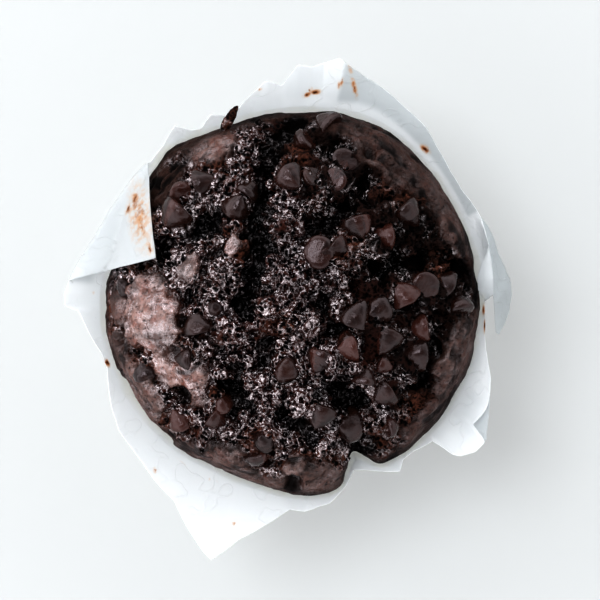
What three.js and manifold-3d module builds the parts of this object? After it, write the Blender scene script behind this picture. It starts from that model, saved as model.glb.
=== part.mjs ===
// A bakery chocolate muffin in its paper case, in millimetres, +Z up. The crumb body stands in a square
// sheet of white baking paper pressed into a round tin, and its crown has split and spread over the
// case. The origin is the middle of the case's flat underside. Chocolate chips, crags and one stray
// flake are baked into the crumb, so the muffin is one solid, and the paper case is the other.
import * as THREE from "three";
import { mergeVertices } from "three/addons/utils/BufferGeometryUtils.js";
import Module from "manifold-3d";

const wasm = await Module();
wasm.setup();

// Driving dimensions
const CROWN_RADIUS = 45.3; // the crown at its widest, before the lobes below
const RIM_HEIGHT = 49; // where the crown is widest
const CROWN_RISE = 26; // from there to the top
const UNDER_DROP = 14; // how far the crown's rounded underside reaches down on the axis
const NECK_RADIUS = 38; // the body just under the crown
const NECK_HEIGHT = 42;
const FOOT_RADIUS = 28; // the body at its base
const FOOT_ROUND = 2.5;
const BODY_SIDES = 48;
const PAPER = 0.6; // the case's modelled thickness
const GAP = 0.35; // between crumb and paper
const CHIP_SIDES = 7;
const CHIP_MIDDLE = 0.3; // height of the point that a chip turns about, as a share of its width
const CHIP_SINK = 0.06; // how far that point lies under the crumb, as a share of the chip's width
const DISC_SINK = 0.22; // the same for a chip that shows its flat base
const DISC_LEAN = 140; // chips that lean further than this show their flat base
const CROWN_DETAIL = 12; // how finely the crown's ball is split
const DOME_SHARE = 0.64; // share of the ball's half turn that becomes the dome
const DOME_POWER = 2.2; // how square the dome's shoulder is
const DOME_FALL = 0.6; // how late it falls away
const ABOVE_POWER = 0.91; // how the crown's radius grows with the climb, over the rim and under it
const BELOW_POWER = 0.8;
const DEEPEST = 5.5; // no split goes deeper
const RIM_RELIEF = 0.25; // what is left of the relief at the rim
const RIM_FROM = 0.86; // it fades from this share of the radius outwards
const UNDER_RELIEF = 0.25; // and has gone at this many radians of climb under the rim
const NEARLY_RIM = 0.985; // what lies further out on the crown is placed here
const FINEST = 0.07; // slivers flatter than this are merged into their neighbours

const TURN = 2 * Math.PI;
const rad = THREE.MathUtils.degToRad;
const up = new THREE.Vector3(0, 0, 1);
const forward = new THREE.Vector3(0, 1, 0);

// The crown's outline from above: bulges and dents by direction, as [degrees, width, amount]
const RIM_LOBES = [
  [66, 22, 2.1],
  [128, 9, 2.0],
  [163, 8, -1.3],
  [222, 10, -0.9],
  [245, 14, -2.3],
  [276, 10, 2.4],
  [292, 4.5, -5.2],
];

// The puffs of the split crown, as [x, y, radius]: each rises by a share of its radius
const PUFFS = [
  [-31, -5, 8.3], [-20, -15, 7], [-24, -31, 8], [-12.5, -35.5, 7], [2.5, -38, 9], [10, -41, 6],
  [24, -31, 7.5], [32, -24.5, 7], [38.5, -14, 7], [41, -2.5, 6], [36, 15, 7.5], [29.5, 25.5, 8],
  [19.5, 35, 8.5], [10, 42, 6], [-6, 41, 7], [-16.5, 34, 8], [-27.5, 26.5, 7], [-27, 19, 5],
  [-12.5, 13.5, 6], [-23.5, 8.5, 7], [-14.5, 2.5, 6], [-1.5, 18.5, 7.5], [0, 30.5, 6.5], [8, 26, 6],
  [-2.5, 7, 6.5], [-1.5, -4.5, 8], [-12, -10.5, 6], [-7.5, -23, 7], [2.5, -23.5, 5.5], [8, 5, 6],
  [17.5, 10, 6.5], [22.5, 22, 6.5], [21, 3.5, 6], [30, 3.5, 6], [13.5, -15, 6.5], [25, -17.5, 6],
  [17.5, -5.5, 6], [-37, -15, 6], [-39.5, -6.5, 5.5], [-34, -24.5, 6], [-4.5, -33, 5.5], [-35.5, 3.5, 5],
];
const PUFF_RISE = 0.3;

// The splits between the puffs: a route over the crown, how deep and how wide
const SPLITS = [
  { depth: 5, width: 2.4, route: [[2, 44], [-4, 38], [-6.5, 29.5], [-8, 19.5], [-9, 8.5], [-11.5, -1.5]] },
  { depth: 4, width: 2.2, route: [[-8, 20], [-16, 20.5], [-23.5, 16.5], [-30, 12]] },
  { depth: 4, width: 2.2, route: [[13, 23.5], [8.5, 18.5], [1.5, 15]] },
  { depth: 3.5, width: 2.2, route: [[7, 7], [7.5, -1.5], [9.5, -6.5]] },
  { depth: 4, width: 2.4, route: [[30, 10.5], [22.5, 7], [15, 3.5]] },
  { depth: 4, width: 2.6, route: [[37, 10], [42, 7]] },
  { depth: 5.5, width: 2.4, route: [[11, -21], [16, -26], [17.5, -31], [16, -36.5], [15.5, -41]] },
  { depth: 3, width: 2, route: [[28, -23.5], [33, -19], [35.5, -10]] },
  { depth: 3, width: 2, route: [[-15, -26], [-13.5, -20], [-11.5, -15]] },
  { depth: 2.5, width: 2, route: [[8, 36.5], [13, 31], [17.5, 28]] },
  { depth: 3, width: 2, route: [[-1, -26], [5, -30.5]] },
];

// The chips that show, as [x, y, width, heading of the tip, lean from upright], angles in degrees.
// A lean near 170 turns the flat base up, and one near 85 lays the chip on its side.
const CHIPS = [
  [-22, -5, 7.5, 100, 80], [-24.5, -13, 6, 180, 80], [-34, -16, 5.5, 90, 80], [-26, -27, 7, 100, 80],
  [-17.5, -27.5, 6.5, 320, 85], [-16.5, -23.5, 5.5, 90, 60], [-8, -36, 6.5, 280, 80],
  [-6.5, -31.5, 6.5, 100, 50], [-1, -15, 6.5, 95, 50], [6.5, -13.5, 8, 250, 75],
  [12.5, -10.5, 7.5, 195, 85], [15, -3, 8, 70, 70], [19.5, -2, 7, 200, 60], [21.5, -9, 8, 240, 75],
  [25.5, 2, 7.5, 130, 80], [30, -6, 7, 190, 115], [29, -12.5, 8, 180, 100], [36, 4.5, 6.5, 160, 100],
  [39.5, -1, 7, 0, 165], [21.5, 15.5, 7, 180, 100], [16, 17, 8.5, 285, 85], [6.5, 11.5, 7.5, 30, 170],
  [11, 12.5, 6.5, 320, 85], [0, 28, 7.5, 300, 70], [4.5, 28.5, 6, 200, 150], [10, 28, 6, 30, 150],
  [13, 33.5, 6.5, 60, 165], [2.5, 38, 6.5, 200, 130], [7.5, 43, 7.5, 60, 90], [13.5, 43, 7, 90, 160],
  [-20.5, 28, 7, 10, 85], [-25.5, 25.5, 6.5, 120, 160], [-27, 20, 9, 230, 85], [-13, 23, 7, 45, 40],
  [-10, 26.5, 6, 60, 80], [-17.5, -1, 4.5, 90, 20], [16.5, -17, 6, 80, 100], [21.5, -21.5, 7.5, 215, 85],
  [6.5, -26.5, 7.5, 250, 60], [13.5, -29.5, 8, 150, 60], [21.5, -14.5, 5, 340, 70],
  [-39.5, 4, 5.5, 90, 30], [23, -28.5, 5, 0, 90], [30.5, 4, 6.5, 60, 160], [27, 20.5, 8, 315, 90],
];

// Hollows in the crust, as [x, y, width, depth]: burst bubbles, and the gaps that some chips left
const HOLLOWS = [
  [-26, -3.5, 5.5, 3.5], [-27.5, -12.5, 5, 2.5], [-26, -22, 5.5, 3], [0.5, -43, 5, 3.5],
  [-36.5, -12.5, 4, 3], [18.5, 35, 4, 2.5], [-15.5, -20, 5, 3],
];
const LENS_SHARE = 0.77; // a hollow's narrow side over its wide one

const FLAKE_ROOT = new THREE.Vector3(-15.2, 41.5, 55);
const FLAKE_TIP = new THREE.Vector3(-12.4, 47.2, 57.5);
const FLAKE_RADIUS = 1.7;
const FLAKE_FLATNESS = 0.45;
const FLAKE_SIDES = 5;

const CRAGS = 44; // crumb lumps on the rough middle of the crown
const CRAG_REACH = 38; // the radius that they are spread over
const CRAG_SMALLEST = 1.3;
const CRAG_SPREAD = 1.5; // the largest are this much larger
const CRAG_FLATNESS = 0.8;
const CRAG_SINK = 0.15; // as a share of a crag's size
const GOLDEN = rad(137.508);

/** Shortest way from one direction to another, in degrees. */
function turnBetween(a, b) {
  return ((((a - b) % 360) + 540) % 360) - 180;
}

/** The crown's radius in a direction given in radians. */
function rimRadius(theta) {
  const degrees = THREE.MathUtils.radToDeg(theta);
  return RIM_LOBES.reduce(
    (r, [at, width, amount]) => r + amount * Math.exp(-((turnBetween(degrees, at) / width) ** 2)),
    CROWN_RADIUS,
  );
}

/** A repeatable number from 0 to 1 for a whole number. */
function chance(n) {
  const s = Math.sin(n * 127.1 + 311.7) * 43758.5453;
  return s - Math.floor(s);
}

/** Distance from a point to a route of straight stretches. */
function distanceToRoute(x, y, route) {
  let least = Infinity;
  for (let i = 1; i < route.length; i++) {
    const [ax, ay] = route[i - 1];
    const [bx, by] = route[i];
    const along = ((x - ax) * (bx - ax) + (y - ay) * (by - ay)) / ((bx - ax) ** 2 + (by - ay) ** 2);
    const t = THREE.MathUtils.clamp(along, 0, 1);
    least = Math.min(least, Math.hypot(x - ax - t * (bx - ax), y - ay - t * (by - ay)));
  }
  return least;
}

/** How far the crown stands out from its plain dome at a place seen from above. */
function relief(x, y) {
  let rise = 0;
  for (const [px, py, radius] of PUFFS) {
    const share = 1 - ((x - px) ** 2 + (y - py) ** 2) / radius ** 2;
    rise = Math.max(rise, PUFF_RISE * radius * share);
  }
  for (const { depth, width, route } of SPLITS)
    rise -= depth * Math.exp(-((distanceToRoute(x, y, route) / width) ** 2));
  return Math.max(rise, -DEEPEST);
}

/** Height of the plain dome at a share of the crown's radius. */
function domeHeight(share) {
  return RIM_HEIGHT + CROWN_RISE * Math.max(0, 1 - share ** DOME_POWER) ** DOME_FALL;
}

/**
 * A point of the crown and the way out of it.
 * climb runs from 0 at the top over 90 degrees at the rim to 180 under the crown, in radians.
 */
function crownPoint(theta, climb) {
  const radius = rimRadius(theta);
  const above = climb <= Math.PI / 2;
  const share = Math.sin(climb) ** (above ? ABOVE_POWER : BELOW_POWER);
  const z = above ? domeHeight(share) : RIM_HEIGHT + UNDER_DROP * Math.cos(climb);
  const rise = above ? CROWN_RISE : UNDER_DROP;
  const out = new THREE.Vector3(
    (Math.cos(theta) * share) / radius,
    (Math.sin(theta) * share) / radius,
    Math.cos(climb) / rise,
  ).normalize();
  const at = new THREE.Vector3(Math.cos(theta) * share * radius, Math.sin(theta) * share * radius, z);
  return { at, out };
}

/** The crown's surface, relief and all, at a place seen from above. */
function crownAbove(x, y) {
  const theta = Math.atan2(y, x);
  const share = Math.min(Math.hypot(x, y) / rimRadius(theta), NEARLY_RIM);
  const { at, out } = crownPoint(theta, Math.asin(share ** (1 / ABOVE_POWER)));
  return { at: at.addScaledVector(out, relief(x, y) * rimFade(share)), out };
}

/** The relief dies away near the rim, so that the outline stays as stated. */
function rimFade(share) {
  return 1 - (1 - RIM_RELIEF) * THREE.MathUtils.smoothstep(share, RIM_FROM, 1);
}

/** A closed three.js geometry as a solid that can be joined and cut. */
function solidOf(geometry) {
  const bare = new THREE.BufferGeometry().setAttribute("position", geometry.getAttribute("position"));
  if (geometry.index) bare.setIndex(geometry.index);
  const merged = mergeVertices(bare, 1e-4);
  return new wasm.Manifold(
    new wasm.Mesh({
      numProp: 3,
      vertProperties: new Float32Array(merged.attributes.position.array),
      triVerts: new Uint32Array(merged.index.array),
    }),
  );
}

/** A solid as a three.js geometry. */
function geometryOf(solid) {
  const mesh = solid.getMesh();
  const positions = new Float32Array(mesh.numVert * 3);
  for (let i = 0; i < mesh.numVert; i++)
    positions.set(mesh.vertProperties.subarray(i * mesh.numProp, i * mesh.numProp + 3), i * 3);
  const geometry = new THREE.BufferGeometry()
    .setAttribute("position", new THREE.BufferAttribute(positions, 3))
    .setIndex(new THREE.BufferAttribute(mesh.triVerts, 1));
  geometry.computeVertexNormals();
  return geometry;
}

/** The crown: a ball drawn out into a dome with a rounded underside. */
function crownSolid() {
  const ball = new THREE.IcosahedronGeometry(1, CROWN_DETAIL);
  const position = ball.getAttribute("position");
  const v = new THREE.Vector3();
  for (let i = 0; i < position.count; i++) {
    v.fromBufferAttribute(position, i).normalize();
    const tilt = Math.acos(THREE.MathUtils.clamp(v.z, -1, 1)) / Math.PI;
    const climb =
      tilt < DOME_SHARE
        ? (Math.PI / 2) * (tilt / DOME_SHARE)
        : (Math.PI / 2) * (1 + (tilt - DOME_SHARE) / (1 - DOME_SHARE));
    const theta = Math.hypot(v.x, v.y) > 1e-6 ? Math.atan2(v.y, v.x) : 0;
    const { at, out } = crownPoint(theta, climb);
    const share = Math.hypot(at.x, at.y) / rimRadius(theta);
    const under = Math.max(0, 1 - (climb - Math.PI / 2) / UNDER_RELIEF);
    const fade = climb <= Math.PI / 2 ? rimFade(share) : RIM_RELIEF * under;
    at.addScaledVector(out, relief(at.x, at.y) * fade);
    position.setXYZ(i, at.x, at.y, at.z);
  }
  return solidOf(ball);
}

/** The body under the crown, which the case holds. */
function bodySolid() {
  const floor = PAPER + GAP;
  const profile = [new THREE.Vector2(0, floor)];
  for (let i = 0; i <= 3; i++) {
    const a = (Math.PI / 2) * (i / 3);
    profile.push(
      new THREE.Vector2(
        FOOT_RADIUS - FOOT_ROUND * (1 - Math.sin(a)),
        floor + FOOT_ROUND * (1 - Math.cos(a)),
      ),
    );
  }
  profile.push(new THREE.Vector2(NECK_RADIUS, NECK_HEIGHT));
  profile.push(new THREE.Vector2(0, RIM_HEIGHT));
  const lathe = new THREE.LatheGeometry(profile, BODY_SIDES);
  lathe.rotateX(Math.PI / 2);
  return solidOf(lathe);
}

/** One chocolate chip of width 1, base at z 0 and its soft tip up. */
function chipGeometry() {
  const outline = [[0, 0], [0.45, 0], [0.5, 0.12], [0.36, 0.38], [0.12, 0.64], [0, 0.76]];
  const points = outline.map(([r, z]) => new THREE.Vector2(r, z));
  return new THREE.LatheGeometry(points, CHIP_SIDES).rotateX(Math.PI / 2);
}

/** The crown's chips, each laid on the crumb and sunk into it. */
function chipSolids() {
  return CHIPS.map(([x, y, width, heading, lean]) => {
    const { at, out } = crownAbove(x, y);
    const along = new THREE.Vector3(Math.cos(rad(heading)), Math.sin(rad(heading)), 0);
    const tip = out.clone().multiplyScalar(Math.cos(rad(lean)));
    tip.addScaledVector(along.projectOnPlane(out).normalize(), Math.sin(rad(lean))).normalize();
    const chip = chipGeometry();
    chip.translate(0, 0, -CHIP_MIDDLE);
    chip.scale(width, width, width);
    chip.applyQuaternion(new THREE.Quaternion().setFromUnitVectors(up, tip));
    const sink = lean > DISC_LEAN ? DISC_SINK : CHIP_SINK;
    chip.translate(...at.addScaledVector(out, -sink * width).toArray());
    return solidOf(chip);
  });
}

/** Lumps of crumb, spread evenly over the rough middle of the crown by the golden angle. */
function cragSolids() {
  return Array.from({ length: CRAGS }, (_, i) => {
    const reach = CRAG_REACH * Math.sqrt((i + 0.5) / CRAGS);
    const theta = i * GOLDEN + chance(i);
    const { at, out } = crownAbove(reach * Math.cos(theta), reach * Math.sin(theta));
    const size = CRAG_SMALLEST + CRAG_SPREAD * chance(i + 100);
    const crag = new THREE.IcosahedronGeometry(1, 0);
    crag.scale(size * (0.8 + 0.5 * chance(i + 200)), size, size * CRAG_FLATNESS);
    crag.rotateX(TURN * chance(i + 300)).rotateZ(TURN * chance(i + 400));
    crag.translate(...at.addScaledVector(out, -CRAG_SINK * size).toArray());
    return solidOf(crag);
  });
}

/** The hollows, as plump lens shapes to cut away. */
function hollowSolids() {
  return HOLLOWS.map(([x, y, width, depth]) => {
    const { at, out } = crownAbove(x, y);
    const lens = new THREE.IcosahedronGeometry(1, 1);
    lens.scale(width / 2, (width / 2) * LENS_SHARE, depth);
    lens.applyQuaternion(new THREE.Quaternion().setFromUnitVectors(up, out));
    lens.translate(...at.toArray());
    return solidOf(lens);
  });
}

/** The crisp flake of crust that stands out over the case's edge: a flattened cone. */
function flakeSolid() {
  const along = FLAKE_TIP.clone().sub(FLAKE_ROOT);
  const length = along.length();
  const flake = new THREE.ConeGeometry(FLAKE_RADIUS, length, FLAKE_SIDES).scale(1, 1, FLAKE_FLATNESS);
  flake.translate(0, length / 2, 0);
  flake.applyQuaternion(new THREE.Quaternion().setFromUnitVectors(forward, along.normalize()));
  return solidOf(flake.translate(...FLAKE_ROOT.toArray()));
}

/** Crumb, chips, crags and flake fused into one solid, with loose scraps dropped. */
function muffinSolid() {
  const whole = wasm.Manifold.union([
    crownSolid(),
    bodySolid(),
    flakeSolid(),
    ...cragSolids(),
    ...chipSolids(),
  ]);
  const cut = whole.subtract(wasm.Manifold.union(hollowSolids()));
  const pieces = cut.decompose().sort((a, b) => b.volume() - a.volume());
  return pieces[0].simplify(FINEST);
}

// The case's free edge, as [direction in degrees, reach from the axis, height]. The four far places are
// the corners of the square sheet: one is folded in over the crown, and its reach is the fold's.
const FREE_EDGE = [
  [2.1, 52.7, 50.5], [5.7, 52.5, 50.5], [9.6, 51.7, 50.5], [13.5, 50.7, 51], [17.5, 50.6, 51.5],
  [24.5, 49.4, 52.5], [32.6, 48.8, 52], [39.8, 49.2, 51.5], [46.8, 50.7, 52], [52.8, 52.5, 54],
  [59.8, 53.7, 52.5], [66.3, 55.4, 52.5], [72, 56.6, 53], [78.1, 58.8, 56.5], [82.1, 57.7, 53.5],
  [88.5, 56.5, 54.5], [92.6, 51.9, 51], [96.7, 53.1, 53.5], [105.2, 48.3, 50.5], [113.3, 48.7, 53],
  [118.5, 47.1, 50.5], [123.7, 50.5, 54], [129.4, 48.5, 52], [136, 47.7, 53], [150, 48.3, 53.5],
  [162, 49.6, 53], [174.5, 53.6, 52.5], [180.5, 54.5, 51], [182.5, 51.2, 51], [187.5, 49.6, 51],
  [197, 47.3, 50.5], [205.7, 48.7, 51], [211.1, 50.2, 51.5], [216.6, 51.5, 52.5], [227, 52.5, 51.5],
  [232.4, 53.9, 52], [239.4, 55.2, 53], [250.6, 63.1, 55], [252.6, 64.3, 55], [257.5, 58, 53],
  [266.8, 51.2, 51], [273.5, 50.3, 50.5], [280.7, 49.1, 50], [286.8, 45.7, 49.5], [292, 43, 49.5],
  [302.5, 48.2, 50], [305.5, 46.3, 49.5], [315, 47.4, 50.5], [316.3, 52.6, 51.5], [317.3, 54.4, 52],
  [320.7, 56.5, 53], [324, 56.7, 53.5], [333, 52.5, 54], [338.6, 51, 53.5], [346.2, 48.6, 52],
  [351, 50, 51.8], [354.2, 51.2, 51], [358, 52.1, 50.5],
];
const CURL_FROM = 347; // the right-hand corner curls over a ridge from here on round to CURL_TO
const CURL_TO = 384.5;
const CURL_RIDGE = [
  [347, 47.9, 52], [351.5, 48.6, 52.4], [357.1, 48.2, 55], [362.3, 47.7, 57], [366.7, 47.9, 58],
  [372.3, 48.3, 57], [380.2, 48.7, 54.6], [384.5, 49.2, 53],
];
const FOLD_FROM = 136; // the folded corner lies between these directions
const FOLD_TO = 174.5;
const FOLD_MIDDLE = 158; // where the fold lies nearest the folded corner
const FOLD_TIP = new THREE.Vector3(-31.5, 10.2, 0); // the corner itself, on the crown
const FOLD_SWELL = 1.6; // how far the folded sheet springs up from its fold
const FOLD_CLEAR = 3.6; // height of the folded flap's middle over the plain dome
const PLEATS = [20, 55, 110, 150, 200, 235, 290, 325];
const PLEAT_DEPTH = 1.2;
const PLEAT_HALF = 2.4; // degrees from a pleat's ridge to its foot
const WIDEST_STEP = 7; // degrees between two columns of the sheet
const CLOSEST_STEP = 0.8; // corners closer than this are left out
const FLOOR_INSET = 1.6; // from the foot's radius in to where the sheet's floor ends
const FOOT_CORNER = [0.4, 1.4]; // the sheet's corner at the foot: past the foot's radius, and its height
const WALL_CLEAR = 0.1; // added to the gap along the wall
const WALL_TOP = 39.5; // where the straight wall ends
const UNDER_CLIMBS = [124, 106]; // where the sheet follows the crown's underside, in degrees of climb
const UNDER_CLEAR = 0.5; // added to the gap there
const PLEAT_SWELL = 0.4; // how far a pleat stands out there
const NECK_CLEAR = 0.4; // the least added to the gap round the neck
const BOWL_HEIGHT = 48.5; // the crown's widest line, as the sheet goes round it
const BOWL_CLEAR = 1.1; // from the crown's widest line to the sheet's middle
const LIP = 1.7; // the same at the free edge, at the least
const FLARE_SHARES = [0.4, 0.75, 1]; // the rows from there out to the free edge
const CURL_CLEAR = 0.3; // the ridge's least distance from there
const CURL_SHARE = 0.6; // the row before the ridge
const FOLD_SHARES = [0.5, 1]; // the rows from the fold over to the folded flap's edge
const RIM_LOOK = rad(2.5); // the sheet clears the rim's widest place this far to either side

/** The directions in which the sheet is drawn: its edge's corners, its pleats, and steps between. */
function sheetDirections() {
  const fixed = [
    ...FREE_EDGE.map(([degrees]) => degrees),
    ...PLEATS.flatMap((p) => [p - PLEAT_HALF, p, p + PLEAT_HALF]),
    FOLD_MIDDLE,
  ].sort((a, b) => a - b);
  const apart = fixed.filter((d, i) => i === 0 || d - fixed[i - 1] > CLOSEST_STEP);
  return apart.flatMap((d, i) => {
    const next = i + 1 < apart.length ? apart[i + 1] : apart[0] + 360;
    const steps = Math.ceil((next - d) / WIDEST_STEP);
    return Array.from({ length: steps }, (_, k) => d + ((next - d) * k) / steps);
  });
}

/** Reach and height in a direction along a list of corners in rising order, straight between them. */
function alongCorners(corners, degrees) {
  const after = corners.findIndex(([at]) => at > degrees);
  const b = corners[after < 0 ? 0 : after];
  const a = corners[(after <= 0 ? corners.length : after) - 1];
  const t = ((degrees - a[0] + 360) % 360) / ((b[0] - a[0] + 360) % 360);
  return [THREE.MathUtils.lerp(a[1], b[1], t), THREE.MathUtils.lerp(a[2], b[2], t)];
}

/** The free edge's reach and height in a direction. */
function freeEdge(degrees) {
  return alongCorners(FREE_EDGE, ((degrees % 360) + 360) % 360);
}

/** The curl's ridge in a direction, or nothing where the sheet has no curl. */
function curlRidge(degrees) {
  const turned = degrees < 180 ? degrees + 360 : degrees;
  return turned > CURL_FROM && turned < CURL_TO ? alongCorners(CURL_RIDGE, turned) : null;
}

/** A point at a radius and height in the direction theta. */
function polar(radius, theta, z) {
  return new THREE.Vector3(radius * Math.cos(theta), radius * Math.sin(theta), z);
}

/** One column of the sheet's middle surface, from its floor to its free edge. */
function sheetColumn(degrees) {
  const theta = rad(degrees);
  const off = GAP + PAPER / 2;
  const ridge = PLEATS.reduce(
    (most, p) => Math.max(most, 1 - Math.abs(turnBetween(degrees, p)) / PLEAT_HALF),
    0,
  );
  const wall = (share) =>
    polar(
      THREE.MathUtils.lerp(FOOT_RADIUS, NECK_RADIUS, share) + off + WALL_CLEAR + ridge * PLEAT_DEPTH * share,
      theta,
      THREE.MathUtils.lerp(FOOT_ROUND, WALL_TOP, share),
    );
  const floor = polar(FOOT_RADIUS - FLOOR_INSET, theta, PAPER / 2);
  const corner = polar(FOOT_RADIUS + FOOT_CORNER[0], theta, FOOT_CORNER[1]);
  const column = [floor, corner, wall(0), wall(1)];
  const radius = Math.max(...[-RIM_LOOK, 0, RIM_LOOK].map((turn) => rimRadius(theta + turn)));
  for (const climb of UNDER_CLIMBS) {
    const { at, out } = crownPoint(theta, rad(climb));
    at.addScaledVector(out, off + UNDER_CLEAR + PLEAT_SWELL * ridge);
    const reach = Math.hypot(at.x, at.y) + radius - rimRadius(theta);
    column.push(polar(Math.max(reach, NECK_RADIUS + off + NECK_CLEAR), theta, at.z));
  }
  const [reach, height] = freeEdge(degrees);
  const bowl = polar(radius + BOWL_CLEAR, theta, BOWL_HEIGHT);
  const edge = polar(Math.max(reach, radius + LIP), theta, height);
  column.push(bowl);
  if (degrees > FOLD_FROM && degrees < FOLD_TO) column.push(...foldedEnd(edge, degrees));
  else column.push(...flaredEnd(bowl, edge, theta, curlRidge(degrees)));
  return column;
}

/** The end of an upright column: straight out to the free edge, or over the curl's ridge. */
function flaredEnd(bowl, edge, theta, curl) {
  if (!curl) return FLARE_SHARES.map((share) => bowl.clone().lerp(edge, share));
  const ridge = polar(Math.max(curl[0], Math.hypot(bowl.x, bowl.y) + CURL_CLEAR), theta, curl[1]);
  return [bowl.clone().lerp(ridge, CURL_SHARE), ridge, edge];
}

/** The end of a folded column: over the fold, then down onto the crown to the sheet's edge. */
function foldedEnd(fold, degrees) {
  const side = degrees < FOLD_MIDDLE ? FOLD_FROM : FOLD_TO;
  const [reach, height] = freeEdge(side);
  const t = (degrees - side) / (FOLD_MIDDLE - side);
  const edge = polar(reach, rad(side), height).lerp(FOLD_TIP, t);
  const laid = FOLD_SHARES.map((share) => {
    const over = fold.clone().lerp(edge, share);
    const rim = rimRadius(Math.atan2(over.y, over.x));
    const dome = domeHeight(Math.min(1, Math.hypot(over.x, over.y) / rim));
    over.z = Math.max(fold.z + FOLD_SWELL * Math.sin((Math.PI * share) / 2), dome + FOLD_CLEAR);
    return over;
  });
  return [fold, ...laid];
}

/** One skin of the sheet: every column's points moved half the paper's thickness to one side. */
function skinPoints(columns, side) {
  const count = columns.length;
  const last = columns[0].length - 1;
  return columns.flatMap((column, c) => {
    const before = columns[(c + count - 1) % count];
    const after = columns[(c + 1) % count];
    return column.map((p, r) => {
      const rise = column[Math.min(r + 1, last)].clone().sub(column[Math.max(r - 1, 0)]);
      const out = r === 0 ? up : rise.cross(after[r].clone().sub(before[r])).normalize();
      return p.clone().addScaledVector(out, (side * PAPER) / 2);
    });
  });
}

/** The paper case: the sheet's middle surface given its thickness, closed all round. */
function caseGeometry() {
  const columns = sheetDirections().map(sheetColumn);
  const rows = columns[0].length;
  const count = columns.length;
  const middle = [new THREE.Vector3(0, 0, 0), new THREE.Vector3(0, 0, PAPER)];
  const points = [...middle, ...skinPoints(columns, -1), ...skinPoints(columns, 1)];
  const outer = (c, r) => middle.length + (c % count) * rows + r;
  const inner = (c, r) => outer(c, r) + count * rows;
  const faces = [];
  const quad = (a, b, c, d) => faces.push(a, b, c, a, c, d);
  for (let c = 0; c < count; c++) {
    faces.push(0, outer(c + 1, 0), outer(c, 0));
    faces.push(1, inner(c, 0), inner(c + 1, 0));
    for (let r = 0; r + 1 < rows; r++) {
      quad(outer(c, r), outer(c + 1, r), outer(c + 1, r + 1), outer(c, r + 1));
      quad(inner(c, r), inner(c, r + 1), inner(c + 1, r + 1), inner(c + 1, r));
    }
    quad(outer(c, rows - 1), outer(c + 1, rows - 1), inner(c + 1, rows - 1), inner(c, rows - 1));
  }
  const positions = new Float32Array(points.flatMap((p) => p.toArray()));
  const geometry = new THREE.BufferGeometry()
    .setAttribute("position", new THREE.BufferAttribute(positions, 3))
    .setIndex(faces);
  geometry.computeVertexNormals();
  return geometry;
}

/** A named mesh with its own plain material. */
function piece(name, geometry, color, roughness) {
  const mesh = new THREE.Mesh(geometry, new THREE.MeshStandardMaterial({ color, roughness, metalness: 0 }));
  mesh.name = name;
  return mesh;
}

const muffin = new THREE.Group();
muffin.add(piece("crumb_with_chips", geometryOf(muffinSolid()), 0x34231f, 0.55));
muffin.add(piece("paper_case", caseGeometry(), 0xeef1f1, 0.7));

export default muffin;
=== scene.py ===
"""A bakery chocolate chip muffin in its paper case, dressed and lit for the camera.

The muffin stands on the origin, +Z up. Every form is worked out in millimetres, in the same frame as the
solids, and turned to metres where its mesh is made.
"""

from __future__ import annotations

import logging
import math
from collections.abc import Sequence
from dataclasses import dataclass
from enum import Enum

import bmesh
import bpy
import numpy as np
from mathutils import Matrix, Vector

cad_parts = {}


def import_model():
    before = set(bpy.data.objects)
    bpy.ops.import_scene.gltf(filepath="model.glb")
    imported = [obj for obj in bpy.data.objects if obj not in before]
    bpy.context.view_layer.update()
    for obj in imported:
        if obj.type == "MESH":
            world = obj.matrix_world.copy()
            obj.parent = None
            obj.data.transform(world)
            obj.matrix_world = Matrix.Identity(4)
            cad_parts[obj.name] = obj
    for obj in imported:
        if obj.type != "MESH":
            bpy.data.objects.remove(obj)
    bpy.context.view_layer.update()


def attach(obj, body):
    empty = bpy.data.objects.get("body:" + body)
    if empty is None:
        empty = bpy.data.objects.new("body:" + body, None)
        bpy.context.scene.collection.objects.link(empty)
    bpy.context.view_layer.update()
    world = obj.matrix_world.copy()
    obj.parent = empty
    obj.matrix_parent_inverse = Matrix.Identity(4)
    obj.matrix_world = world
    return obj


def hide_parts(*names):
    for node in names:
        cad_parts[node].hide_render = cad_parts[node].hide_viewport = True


log = logging.getLogger("muffin")

MM = 0.001  # one millimetre in metres
SEED = 7
Points = np.ndarray  # one row of x, y and z for each point
Values = np.ndarray  # one number for each point


# Helpers for numbers


def smooth(values: Values, low: float, high: float) -> Values:
    """Rises smoothly from 0 at low to 1 at high."""
    t = np.clip((values - low) / (high - low), 0.0, 1.0)
    return t * t * (3.0 - 2.0 * t)


def unit(rows: Points) -> Points:
    """The rows scaled to length 1."""
    return rows / np.maximum(np.linalg.norm(rows, axis=1, keepdims=True), 1e-9)


def cell_chance(cells: np.ndarray, seed: int) -> Values:
    """A repeatable number from 0 to 1 for each whole-number cell of space.

    Args:
        cells: Three whole numbers for each cell.
        seed: Another seed gives other numbers.

    Returns:
        The number of each cell.
    """
    mixed = cells.astype(np.int64) @ np.array([73856093, 19349663, 83492791], np.int64)
    mixed = (mixed + seed * 2654435761) & 0xFFFFFFFF
    for shift, factor in ((16, 0x45D9F3B), (15, 0x2C1B3C6D), (16, 0x297A2D39)):
        mixed = ((mixed ^ (mixed >> shift)) * factor) & 0xFFFFFFFF
    return mixed / float(0xFFFFFFFF)


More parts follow.
